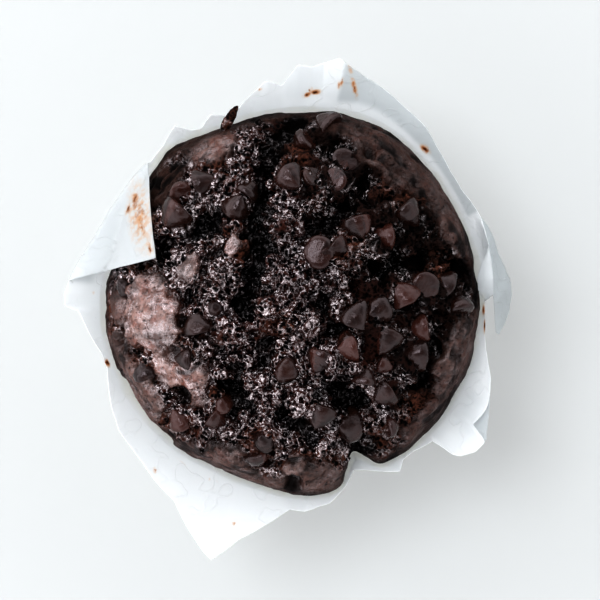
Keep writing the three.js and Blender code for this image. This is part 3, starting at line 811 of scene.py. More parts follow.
@dataclass(frozen=True)
class BakingPaper:
    """White greaseproof paper: dense and glazed, so satin, and thin enough to let some light through."""

    white: str = "#f4f5f6"
    # Painted shade: grey where the sheet hangs as one layer over a gap, and on the curl and lower layer
    shade_grey: str = "#c7ccce"
    greased: str = "#f0f0ec"
    haze: str = "#e3bd98"
    smear: str = "#bd8350"
    burnt: str = "#5f3218"
    clear: float = 0.62  # share of the light that passes through
    roughness: float = 0.5
    fibre_mm: float = 0.6  # real fibres are far finer, and are drawn this coarse to show at all
    fibre_depth_mm: float = 0.1
    crease_mm: float = 11.0
    crease_depth_mm: float = 0.2
    ragged_mm: float = 1.3
    cover_mm: float = 1.6

    def material(self) -> bpy.types.Material:
        """Builds the paper's material, which reads grease, painted grey shade and smear from the mesh.

        Returns:
            The finished material.
        """
        material, tree = blank_material("greaseproof_paper")
        place = add_node(tree, "ShaderNodeTexCoord", out="Object")
        colour = self.colour(tree, place)
        bump = self.bump(tree, place)
        sheet_row = {"Base Color": colour, "Roughness": self.roughness, "IOR": 1.5, "Normal": bump}
        sheet = add_node(tree, "ShaderNodeBsdfPrincipled", None, sheet_row)
        through = add_node(tree, "ShaderNodeBsdfTranslucent", None, {"Color": colour, "Normal": bump})
        paper = add_node(tree, "ShaderNodeMixShader", None, (self.clear, sheet, through))
        add_node(tree, "ShaderNodeOutputMaterial", None, {"Surface": paper})
        return material

    def colour(self, tree: bpy.types.NodeTree, place: bpy.types.NodeSocket) -> bpy.types.NodeSocket:
        """White paper, painted grey as shade where it is one layer, with grease, brown haze and ragged smears
        of cocoa.

        Args:
            tree: The material's node tree.
            place: Where each point of the piece lies.

        Returns:
            The socket with the colour.
        """
        grease, shade_grey, smear = (
            add_node(tree, "ShaderNodeAttribute", {"attribute_name": name}, out="Fac")
            for name in ("grease", "shade_grey", "smear")
        )
        soaked = add_node(tree, "ShaderNodeMapRange", None, (grease, 0.0, 1.0, 0.0, 0.85))
        cover = add_node(tree, "ShaderNodeTexNoise", None, swells(place, self.cover_mm))
        cover = add_node(tree, "ShaderNodeMapRange", None, (cover, 0.42, 0.6, 0.1))
        haze = add_node(tree, "ShaderNodeMapRange", None, (smear, 0.1, 0.6))
        haze = add_node(tree, "ShaderNodeMath", {"operation": "MULTIPLY"}, (haze, cover))
        ragged = add_node(tree, "ShaderNodeTexNoise", None, swells(place, self.ragged_mm, 4.0))
        ragged = add_node(tree, "ShaderNodeMath", {"operation": "ADD"}, (smear, ragged))
        stain = add_node(tree, "ShaderNodeMapRange", None, (ragged, 1.0, 1.35))
        burnt = add_node(tree, "ShaderNodeMapRange", None, (ragged, 1.3, 1.5))
        brown = painted(tree, linear(self.smear), ((burnt, linear(self.burnt)),))
        coats = ((shade_grey, self.shade_grey), (soaked, self.greased), (haze, self.haze))
        clean = painted(tree, linear(self.white), [(share, linear(coat)) for share, coat in coats])
        return painted(tree, clean, ((stain, brown),))

    def bump(self, tree: bpy.types.NodeTree, place: bpy.types.NodeSocket) -> bpy.types.NodeSocket:
        """The paper's fibres, and the thin winding lines where it was crushed.

        Args:
            tree: The material's node tree.
            place: Where each point of the piece lies.

        Returns:
            The socket with the bent normal.
        """
        fibre = add_node(tree, "ShaderNodeTexNoise", None, swells(place, self.fibre_mm))
        fibre_row = {"Strength": 0.15, "Distance": self.fibre_depth_mm * MM, "Height": fibre}
        fibres = add_node(tree, "ShaderNodeBump", None, fibre_row)
        line = add_node(tree, "ShaderNodeTexNoise", None, swells(place, self.crease_mm, 2.0))
        line = add_node(tree, "ShaderNodeMath", {"operation": "SUBTRACT"}, (line, 0.5))
        line = add_node(tree, "ShaderNodeMath", {"operation": "ABSOLUTE"}, (line,))
        crease = add_node(tree, "ShaderNodeMapRange", None, (line, 0.0, 0.02, 1.0, 0.0))
        depth = self.crease_depth_mm * MM
        crease_row = {"Strength": 0.5, "Distance": depth, "Height": crease, "Normal": fibres}
        return add_node(tree, "ShaderNodeBump", None, crease_row)


def under_flap(points: Points) -> Values:
    """Where the paper's folded corner covers the crown, from 0 to 1."""
    return smooth(-points[:, 0], 29.5, 31.5) * smooth(points[:, 1], 5.0, 9.0)


@dataclass
class CrumbBody:
    """The muffin's crumb: the crown as one fine surface, with the body that the case hides under it."""

    crown: Crown
    steps: int = 292  # faces along each side of the square that the crown is drawn from
    last_climb: float = math.radians(114)
    neck_radius: float = 38.0
    neck_height: float = 41.0
    foot_radius: float = 27.9
    foot_round: float = 2.5
    floor: float = 1.0
    warp: float = 1.3  # how far noise bends the broad forms
    lip: float = 1.3  # how high the crumb stands up round a chip
    fold: float = 0.9
    fold_size: float = 1.5
    fold_stretch: float = 14.0  # makes the folds about three times as long as they are wide
    clump_size: float = 5.5
    crumb_size: float = 2.6
    torn_size: float = 6.0
    least_fade: float = 0.35
    rim_crust: float = 0.93  # share of the way to the rim where the crust starts
    # Strengths of the painted shade along the rim, in crust folds, on each chip's shaded side and in hollows
    rim_dark: float = 0.5
    fold_dark: float = 0.85
    chip_shadow_dark: float = 0.75
    hollow_dark: float = 0.8
    least_wet_and_lit: float = 0.16  # how moist and lit the crumb is at the right, where it is painted darker as shade

    def build(self, material: bpy.types.Material) -> bpy.types.Object:
        """Makes the crumb.

        Args:
            material: The crumb's finish.

        Returns:
            The piece.
        """
        build = bmesh.new()
        bmesh.ops.create_grid(build, x_segments=self.steps, y_segments=self.steps, size=1.0)
        flat = np.array([v.co for v in build.verts])
        points, out, climb = self.wrap(flat)
        for vertex, point in zip(build.verts, points):
            vertex.co = point
        self.close_under(build)
        mesh = mesh_from(build, "crumb")
        count = len(points)
        self.carve(mesh, count, out, climb)
        move_points(mesh, mesh_points(mesh) * MM)
        return finish_piece(mesh, "crumb", material)

    def wrap(self, flat: Points) -> tuple[Points, Points, Values]:
        """Lays the points of a flat square over the plain crown, evenly spaced down its slope.

        Args:
            flat: The square's points, from -1 to 1.

        Returns:
            The points, the ways out of the crown, and the climbs.
        """
        a, b = flat[:, 0], flat[:, 1]
        wide = np.abs(a) > np.abs(b)
        ring = np.maximum(np.abs(a), np.abs(b))
        lead = np.where(wide, a, b)
        ratio = np.where(wide, b, a) / np.where(np.abs(lead) < 1e-9, 1.0, lead)
        eighth = ratio * math.pi / 4
        theta = np.where(wide, eighth, math.pi / 2 - eighth)
        theta = np.where(lead < 0, theta + math.pi, theta)
        climbs = np.linspace(0.0, self.last_climb, 2000)
        path, _ = self.crown.place(np.zeros(len(climbs)), climbs)
        length = np.concatenate([[0.0], np.cumsum(np.linalg.norm(np.diff(path, axis=0), axis=1))])
        climb = np.interp(ring * length[-1], length, climbs)
        points, out = self.crown.place(theta, climb)
        return points, out, climb

    def close_under(self, build: bmesh.types.BMesh) -> None:
        """Draws the crown's open edge in to the neck, down to the foot, and closes it.

        Args:
            build: The bmesh that holds the crown.
        """
        edge = [e for e in build.edges if e.is_boundary]
        rings = (
            (self.neck_radius, self.neck_height),
            (self.foot_radius, self.floor + self.foot_round),
            (self.foot_radius - 0.7, self.floor + 0.7),
            (self.foot_radius - self.foot_round, self.floor),
        )
        for radius, height in rings:
            grown = bmesh.ops.extrude_edge_only(build, edges=edge)["geom"]
            edge = [g for g in grown if isinstance(g, bmesh.types.BMEdge) and g.is_boundary]
            for vertex in (g for g in grown if isinstance(g, bmesh.types.BMVert)):
                around = Vector((vertex.co.x, vertex.co.y, 0.0)).normalized() * radius
                vertex.co = (around.x, around.y, height)
        bmesh.ops.contextual_create(build, geom=edge)
        bmesh.ops.recalc_face_normals(build, faces=build.faces)

    def carve(self, mesh: bpy.types.Mesh, count: int, out: Points, climb: Values) -> None:
        """Gives the crown its broad relief, then its crumb and crust, and keeps what the finish reads.

        Args:
            mesh: The crumb's mesh.
            count: How many of its vertices, the first ones, lie on the crown.
            out: The way out of the plain crown at each of those.
            climb: The climb of each of those.
        """
        points = mesh_points(mesh)
        here = points[:count]  # the crown's own points, which follow each move below
        warp = np.stack([clouds(here, 7.0, 11 + k, 3) for k in range(2)], axis=1) * self.warp
        fade = self.crown.rim_fade(climb)
        broad = self.crown.relief(here[:, 0] + warp[:, 0], here[:, 1] + warp[:, 1])
        here += out * (broad * fade)[:, None]
        move_points(mesh, points)
        normals = point_normals(mesh)[:count]
        crust, shine = self.crust_share(here)
        near, lip, chip_shadow = self.near_chips(here)
        torn = clouds(here, self.torn_size, 331, 4)
        fine = self.torn_crumb(here, torn) * (1.0 - near)
        fine += self.lip * lip * smooth(torn, -0.3, 0.3) - 0.5 * near
        fine *= 1.0 - crust
        folds = self.folds(here)
        plate = crust * (self.plate_relief(here) + self.fold * (1.0 - 0.75 * shine) * folds)
        border = (4.0 * crust * (1.0 - crust)) ** 2 * smooth(clouds(here, 8.0, 53, 2), -0.2, 0.2)
        edge = self.rim_share(here)
        hollow = self.crown.hollow(here[:, 0] + warp[:, 0], here[:, 1] + warp[:, 1])
        cracked = self.cracks(here[:, 0] + 0.6 * warp[:, 0], here[:, 1] + 0.6 * warp[:, 1])
        rise = (fine + plate - 0.9 * border) * np.maximum(fade, self.least_fade)
        rise -= hollow + 0.5 * smooth(edge, 0.9, 1.0) + cracked
        rise -= np.maximum(rise - 1.0, 0.0) * under_flap(here)
        here += normals * rise[:, None]
        move_points(mesh, points)
        # Painted shade, kept as deep: in gaps and cracks, along the rim, in crust folds, beside chips and in
        # hollows
        gaps = (
            smooth(-(broad + 1.3 * fine) + cracked, 0.8, 5.0),
            self.rim_dark * smooth(edge, 0.955, 0.99) * smooth(clouds(here, 14.0, 91, 3), -0.05, 0.35),
            self.fold_dark * crust * (1.0 - 0.8 * shine) * smooth(-folds, 0.0, 0.4),
            self.chip_shadow_dark * chip_shadow * smooth(clouds(here, 5.0, 97, 2), -0.3, 0.2),
            self.hollow_dark * smooth(hollow, 0.8, 3.0),
        )
        tan = np.maximum(self.tan_share(here), 0.8 * shine * smooth(border, 0.2, 0.8))
        # Moisture, and painted shade: the mark is low on the right, away from the light, where the crumb is
        # painted darker
        wet_and_lit = self.wet_and_lit_share(here) * (1.0 - 0.45 * tan)
        marks = {"crust": crust, "shine": shine, "wet_and_lit": wet_and_lit, "tan": tan, "deep": np.max(gaps, axis=0)}
        for name, values in marks.items():
            store(mesh, name, np.concatenate([values, np.zeros(len(points) - count)]))

    def torn_crumb(self, here: Points, torn: Values) -> Values:
        """The relief of torn crumb: clumps that lie against each other, smaller crumbs and bubbles.

        Args:
            here: Places on the crown.
            torn: How far each place stands out where the crumb is torn, from -1 to 1.

        Returns:
            The height of each place.
        """
        bent = here + np.stack([clouds(here, 3.0, 5 + k, 2) for k in range(3)], axis=1) * 1.6
        clump, clump_chance = lumps(bent, self.clump_size, 101)
        crumb, crumb_chance = lumps(bent, self.crumb_size, 211)
        bubbles = np.zeros(len(here))
        for size, seed, common, deep in BUBBLES:
            hole, chance = lumps(bent, size, seed)
            bubbles = np.maximum(bubbles, np.where(chance < common, smooth(hole, 0.25, 0.9) * deep, 0.0))
        clumps = 1.8 * (np.sqrt(clump) - 0.6) + 2.0 * (clump_chance - 0.5)
        crumbs = 0.5 * (crumb - 0.5) + 0.9 * (crumb_chance - 0.5)
        return clumps + crumbs + 2.2 * torn - bubbles - 0.6

    def plate_relief(self, here: Points) -> Values:
        """The relief of the smooth crust: soft swells, long wrinkles and burst bubbles.

        Args:
            here: Places on the crown.

        Returns:
            The height of each place.
        """
        wrinkle = 1.0 - np.abs(clouds(here, 6.0, 47, 3)) * 2.0
        height = 0.4 + 0.7 * clouds(here, 9.0, 41, 3) - 0.35 * smooth(wrinkle, 0.6, 1.0)
        return height - self.pits(here)

    def rim_share(self, here: Points) -> Values:
        """How far each place is on its way from the axis, at 0, to the rim, at 1."""
        return np.hypot(here[:, 0], here[:, 1]) / self.crown.rim(np.arctan2(here[:, 1], here[:, 0]))

    def near_chips(self, here: Points) -> tuple[Values, Values, Values]:
        """How the chips change the crumb round them.

        Args:
            here: Places on the crown.

        Returns:
            How near each place is to a chip, to the lip of crumb round one, and to the painted shadow on its
            shaded side, each from 0 to 1.
        """
        near, lip, chip_shadow = np.zeros(len(here)), np.zeros(len(here)), np.zeros(len(here))
        for x, y, width, *_ in CHIPS:
            dx, dy = (here[:, 0] - x) / width, (here[:, 1] - y) / width
            share = np.hypot(dx, dy)
            near = np.maximum(near, 1.0 - smooth(share, 0.4, 0.68))
            lip = np.maximum(lip, np.exp(-(((share - 0.58) / 0.12) ** 2)))
            # Painted shadow on each chip's lower right, the side away from the light
            chip_shadow = np.maximum(chip_shadow, np.exp(-(((share - 0.52) / 0.1) ** 2)) * smooth(dx - dy, -0.1, 0.5))
        return near, lip, chip_shadow

    def folds(self, here: Points) -> Values:
        """Fine folds in the crust, drawn out along the rim.

        Args:
            here: Places on the crown.

        Returns:
            A number from about -1 to 1 for each place.
        """
        theta = np.arctan2(here[:, 1], here[:, 0])
        reach = np.hypot(here[:, 0], here[:, 1]) + 1.2 * cloud(here, 6.0, 48)
        along, across = self.fold_stretch * np.cos(theta), self.fold_stretch * np.sin(theta)
        return clouds(np.stack([along, across, reach], axis=1), self.fold_size, 45, 3)

    def cracks(self, x: Values, y: Values) -> Values:
        """How deep the fine cracks are at each place."""
        depths = (deep * np.exp(-((route_distance(x, y, route) / wide) ** 2)) for deep, wide, route in CRACKS)
        return sum(depths)

    def wet_and_lit_share(self, here: Points) -> Values:
        """How moist and lit the crumb is: most in the middle and lower left, least at the right, painted
        darker as shade.
        """
        towards_left = -0.9 * here[:, 0] - 0.4 * here[:, 1] + 8.0 * clouds(here, 12.0, 83, 2)
        return self.least_wet_and_lit + (1.0 - self.least_wet_and_lit) * smooth(towards_left, -30.0, 5.0)

    def crust_share(self, here: Points) -> tuple[Values, Values]:
        """Where the surface is smooth crust, with ragged borders, and how it shines.

        Args:
            here: Places on the crown.

        Returns:
            How far each place is crust, and how far it shines, from 0 to 1.
        """
        wander = clouds(here, 6.0, 61, 4)
        reach = np.full(len(here), -9.0)
        shine = np.zeros(len(here))
        for cx, cy, long, wide, turn, gloss in CRUSTS:
            cos, sin = math.cos(math.radians(turn)), math.sin(math.radians(turn))
            dx, dy = here[:, 0] - cx, here[:, 1] - cy
            along, across = (dx * cos + dy * sin) / long, (dy * cos - dx * sin) / wide
            inside = 1.0 - np.hypot(along, across)
            shine = np.maximum(shine, gloss * smooth(inside, -0.4, 0.3))
            reach = np.maximum(reach, inside)
        turn = turn_between(np.degrees(np.arctan2(here[:, 1], here[:, 0])), 182.0)
        starts = self.rim_crust + 0.035 * np.exp(-((turn / 22.0) ** 2))
        rim = smooth(self.rim_share(here) + 0.05 * wander - starts, 0.0, 0.03)
        return np.maximum(smooth(reach + 0.65 * wander, -0.1, 0.22), rim), shine

    def tan_share(self, here: Points) -> Values:
        """Where the crumb is drier and browner.

        Args:
            here: Places on the crown.

        Returns:
            How dry each place is, from 0 to 1.
        """
        share = np.zeros(len(here))
        for tx, ty, radius in TAN_SPOTS:
            near = np.hypot(here[:, 0] - tx, here[:, 1] - ty) / radius
            share = np.maximum(share, 1.0 - near * 0.8)
        return smooth(share + 0.5 * clouds(here, 4.0, 71, 3), 0.1, 0.8)

    def pits(self, here: Points) -> Values:
        """How deep the burst bubbles in the crust are.

        Args:
            here: Places on the crown.

        Returns:
            The depth at each place.
        """
        depth = np.zeros(len(here))
        for size, seed, common in PITS:
            height, chance = lumps(here, size, seed)
            pit = 0.3 * size * smooth(height, 0.7, 0.95)
            depth = np.maximum(depth, np.where(chance < common, pit, 0.0))
        return depth


@dataclass
class ChipSet:
    """The baked-in chocolate chips that show."""

    crown: Crown
    around: int = 40
    along: int = 24
    disc_lean: float = 140.0  # a chip that leans further shows its flat base
    disc_melt: float = 0.25
    melt: float = 0.55
    disc_sink: float = 0.24  # of the chip's width
    sink: float = 0.14

    def build(self, material: bpy.types.Material) -> bpy.types.Object:
        """Makes all chips as one piece.

        Args:
            material: The chips' finish.

        Returns:
            The piece.
        """
        rng = np.random.default_rng(SEED)
        build = bmesh.new()
        milk: list[float] = []
        soft: list[float] = []
        for x, y, width, heading, lean in CHIPS:
            first = len(build.verts)
            made = bmesh.ops.create_uvsphere(
                build, u_segments=self.around, v_segments=self.along, radius=0.5
            )["verts"]
            self.shape(made, rng)
            bmesh.ops.transform(build, matrix=self.stance(x, y, width, heading, lean), verts=made)
            milk += [float(rng.random() ** 4)] * (len(build.verts) - first)
            soft += [self.disc_melt if lean > self.disc_lean else self.melt] * (len(build.verts) - first)
        bmesh.ops.recalc_face_normals(build, faces=build.faces)
        mesh = mesh_from(build, "chips")
        points = mesh_points(mesh)
        melted = np.array(soft) * clouds(points, 3.0, 701, 3)
        move_points(mesh, points + point_normals(mesh) * melted[:, None])
        store(mesh, "milk", np.array(milk))
        move_points(mesh, mesh_points(mesh) * MM)
        return finish_piece(mesh, "chocolate_chips", material)

    def shape(self, vertices: Sequence[bmesh.types.BMVert], rng: np.random.Generator) -> None:
        """Draws a ball out into a chip of width 1: flat base, round shoulder and a soft bent tip.

        Args:
            vertices: The ball's vertices.
            rng: What bends and squeezes each chip its own way.
        """
        angles = (-90, -60, -35, 0, 30, 60, 90)
        radii = (0.0, 0.40, 0.49, 0.47, 0.34, 0.16, 0.0)
        heights = (-0.30, -0.30, -0.24, -0.08, 0.14, 0.34, 0.46)
        bend = rng.uniform(-0.12, 0.12, 2)
        squeeze = rng.uniform(0.9, 1.08, 3)
        swell = rng.uniform(0.0, math.tau)
        for vertex in vertices:
            lift = math.degrees(math.asin(max(-1.0, min(1.0, vertex.co.z / 0.5))))
            turn = math.atan2(vertex.co.y, vertex.co.x)
            radius = float(np.interp(lift, angles, radii)) * (1.0 + 0.05 * math.cos(2 * (turn - swell)))
            height = float(np.interp(lift, angles, heights))
            tip = max(0.0, height) ** 1.5
            vertex.co = (
                (radius * math.cos(turn) + bend[0] * tip) * squeeze[0],
                (radius * math.sin(turn) + bend[1] * tip) * squeeze[1],
                height * squeeze[2],
            )

    def stance(self, x: float, y: float, width: float, heading: float, lean: float) -> Matrix:
        """Where a chip lies on the crumb.

        Args:
            x: The chip's x.
            y: The chip's y.
            width: Its width.
            heading: Which way its tip points, in degrees.
            lean: How far its tip leans from upright, in degrees.

        Returns:
            The turn, size and place of the chip.
        """
        theta = np.array([math.atan2(y, x)])
        share = min(math.hypot(x, y) / float(self.crown.rim(theta)[0]), 0.985)
        climb = np.array([math.asin(share ** (1 / self.crown.slope_power))])
        point, out = self.crown.place(theta, climb)
        relief = self.crown.relief(np.array([x]), np.array([y])) * self.crown.rim_fade(climb)
        at = Vector(point[0] + out[0] * relief[0])
        away = Vector(out[0])
        along = Vector((math.cos(math.radians(heading)), math.sin(math.radians(heading)), 0.0))
        level = (along - away * along.dot(away)).normalized()
        tip = away * math.cos(math.radians(lean)) + level * math.sin(math.radians(lean))
        sink = self.disc_sink if lean > self.disc_lean else self.sink
        turned = Vector((0, 0, 1)).rotation_difference(tip).to_matrix().to_4x4()
        return Matrix.Translation(at - away * sink * width) @ turned @ Matrix.Scale(width, 4)


FREE_EDGE = (
    # Corners of the sheet's free edge as (direction in degrees, reach, height)
    (0.3, 46.3, 49.5), (2.3, 48, 56), (6.7, 48.2, 57), (12.4, 48.6, 56.5), (15.6, 48.7, 56), (20, 48.9, 55),
    (25.1, 49.1, 54), (32.6, 48.8, 52), (39.8, 49.2, 51.5), (46.8, 50.7, 52), (52.8, 52.5, 54),
    (59.8, 53.7, 52.5), (66.3, 55.4, 52.5), (72, 56.6, 53), (77.4, 58.1, 56.5), (78.8, 59, 56.5),
    (82.1, 57.7, 53.5), (85.1, 56.4, 53), (88.5, 56.5, 54.5), (92.6, 51.9, 51), (96.7, 53.1, 53.5),
    (99, 51.8, 52), (105.2, 48.3, 50.5), (109.7, 47.5, 51), (113.3, 48.7, 53), (117.9, 47, 50.5),
    (120.7, 47.9, 51), (123.7, 50.5, 54), (129.4, 48.5, 52), (135.4, 47.4, 53), (137, 48, 53.5),
    (150, 48.3, 53.5), (162, 49.6, 53), (174.5, 53.6, 52.5), (178, 54.6, 51.5), (181, 54.4, 51),
    (182.5, 51.2, 51), (187.5, 49.6, 51), (195, 47.4, 50.5), (199.6, 47.1, 50.5), (205.7, 48.7, 51),
    (211.1, 50.2, 51.5), (216.6, 51.5, 52.5), (221.4, 51.9, 51.5), (227, 52.5, 51.5), (232.4, 53.9, 52),
    (239.4, 55.2, 53), (250.6, 63.1, 55), (252.6, 64.3, 55), (257.5, 58, 53), (266.8, 51.2, 51),
    (269.4, 49.7, 50.5), (273.5, 50.3, 50.5), (280.7, 49.1, 50), (286.8, 45.7, 49.5), (289.9, 42.9, 49.5),
    (293.5, 43.9, 49.5), (302.5, 48.2, 50), (305.1, 46.3, 49.5), (308.9, 46.2, 49.5), (315.4, 47.4, 50.5),
    (315.9, 49.5, 51), (316.3, 52.6, 51.5), (317.3, 54.4, 52), (320.7, 56.5, 53), (323.6, 56.8, 53.5),
    (324.3, 56.6, 53.5), (325.1, 54.6, 53), (325.8, 52, 52.5), (328.8, 52.5, 53.5), (330.8, 52.7, 54),
    (333, 52.5, 54), (338.6, 51, 53.5), (346.2, 47.8, 52), (350.6, 46.8, 51), (357.4, 46.2, 50),
)
PLEATS = (20, 55, 110, 150, 200, 235, 290, 325)  # directions in degrees
SMEARS = (
    # Cocoa and fat rubbed off on the paper, as (x, y, half length, half width, turn in degrees, strength)
    (-37.0, 24.0, 3.4, 1.1, 95, 0.8), (-38.7, 22.0, 1.3, 0.7, 70, 1.0), (-34.9, 21.2, 2.2, 0.8, 100, 0.7),
    (-35.6, 20.4, 8.0, 2.9, 98, 0.6), (-35.0, 17.6, 1.2, 0.7, 60, 0.8), (-32.8, 12.3, 1.5, 0.6, 100, 0.9),
    (3.6, 49.8, 1.0, 0.45, 25, 1.15), (5.6, 50.4, 1.2, 0.5, 10, 1.2), (4.3, 51.0, 0.6, 0.3, 50, 1.0),
    (11.6, 52.2, 1.3, 0.35, 60, 1.1), (14.9, 51.4, 2.4, 0.5, 105, 0.85),
    (13.9, 55.2, 1.2, 0.5, 110, 0.5), (31.9, 36.6, 1.3, 0.8, 140, 1.1), (45.9, -1.6, 1.6, 0.5, 95, 1.1),
    (46.4, -5.5, 2.0, 0.3, 88, 1.2), (47.6, -12.0, 1.0, 0.25, 100, 1.0), (48.0, -16.0, 1.6, 0.25, 100, 1.0),
    (-45.6, 4.4, 1.2, 0.9, 90, 1.1), (-44.0, -14.6, 1.6, 0.8, 160, 1.15), (-27.0, -38.0, 2.4, 0.4, 140, 0.9),
    (-32.7, 35.8, 0.4, 0.4, 0, 1.1), (-38.3, 29.9, 0.4, 0.3, 0, 1.0), (-43.4, 23.2, 0.4, 0.3, 0, 0.9),
    (-47.7, 2.2, 0.4, 0.4, 0, 1.2), (-33.2, -30.6, 0.5, 0.4, 80, 1.1), (-32.8, -40.3, 0.5, 0.4, 80, 1.1),
    (-18.0, -43.1, 0.5, 0.4, 0, 1.1), (-19.8, -42.7, 0.3, 0.3, 0, 0.9), (-13.9, -53.1, 0.5, 0.4, 0, 1.1),
    (-7.6, 50.9, 0.3, 0.3, 0, 1.1),
)
SHADE_SPANS = (
    # Single layers of the free sheet, painted grey as shade, as (from, to, how grey), in degrees
    (26.0, 77.4, 0.5), (77.4, 92.0, 0.1), (136.0, 174.5, 0.35),
)
CURL = (
    # The corner that curls over at the right: its ridge, its outer edge and its inner lip, as (x, y, z)
    (
        (44.9, 20.4, 53.0), (45.7, 16.8, 54.6), (46.7, 13.1, 56.0), (47.2, 10.3, 57.0), (47.6, 5.6, 58.0),
        (47.7, 1.9, 57.0), (48.1, -2.4, 55.0), (48.7, -7.3, 52.4),
    ),
    (
        (45.0, 20.5, 52.5), (46.9, 18.0, 52.0), (48.3, 15.2, 51.5), (49.3, 11.8, 51.0), (51.0, 8.6, 50.5),
        (52.2, 5.2, 50.5), (52.7, 1.9, 50.5), (52.1, -2.0, 50.5), (50.9, -5.2, 51.0), (49.4, -7.8, 51.8),
    ),
    (
        (46.6, 13.2, 56.0), (45.9, 11.0, 56.2), (44.8, 8.7, 56.0), (44.0, 5.6, 56.0), (44.3, 2.9, 55.4),
        (45.9, 0.3, 54.0),
    ),
)
LOWER_LAYER = (
    # The sheet's second layer behind the notch at the lower right
    ((44.5, -21.5, 49.2), (41.0, -27.0, 48.4), (40.5, -31.0, 48.4), (43.0, -33.5, 49.2)),
    ((47.3, -23.0, 51.6), (47.0, -27.5, 51.4), (46.7, -30.0, 51.4), (46.5, -33.0, 51.6)),
)


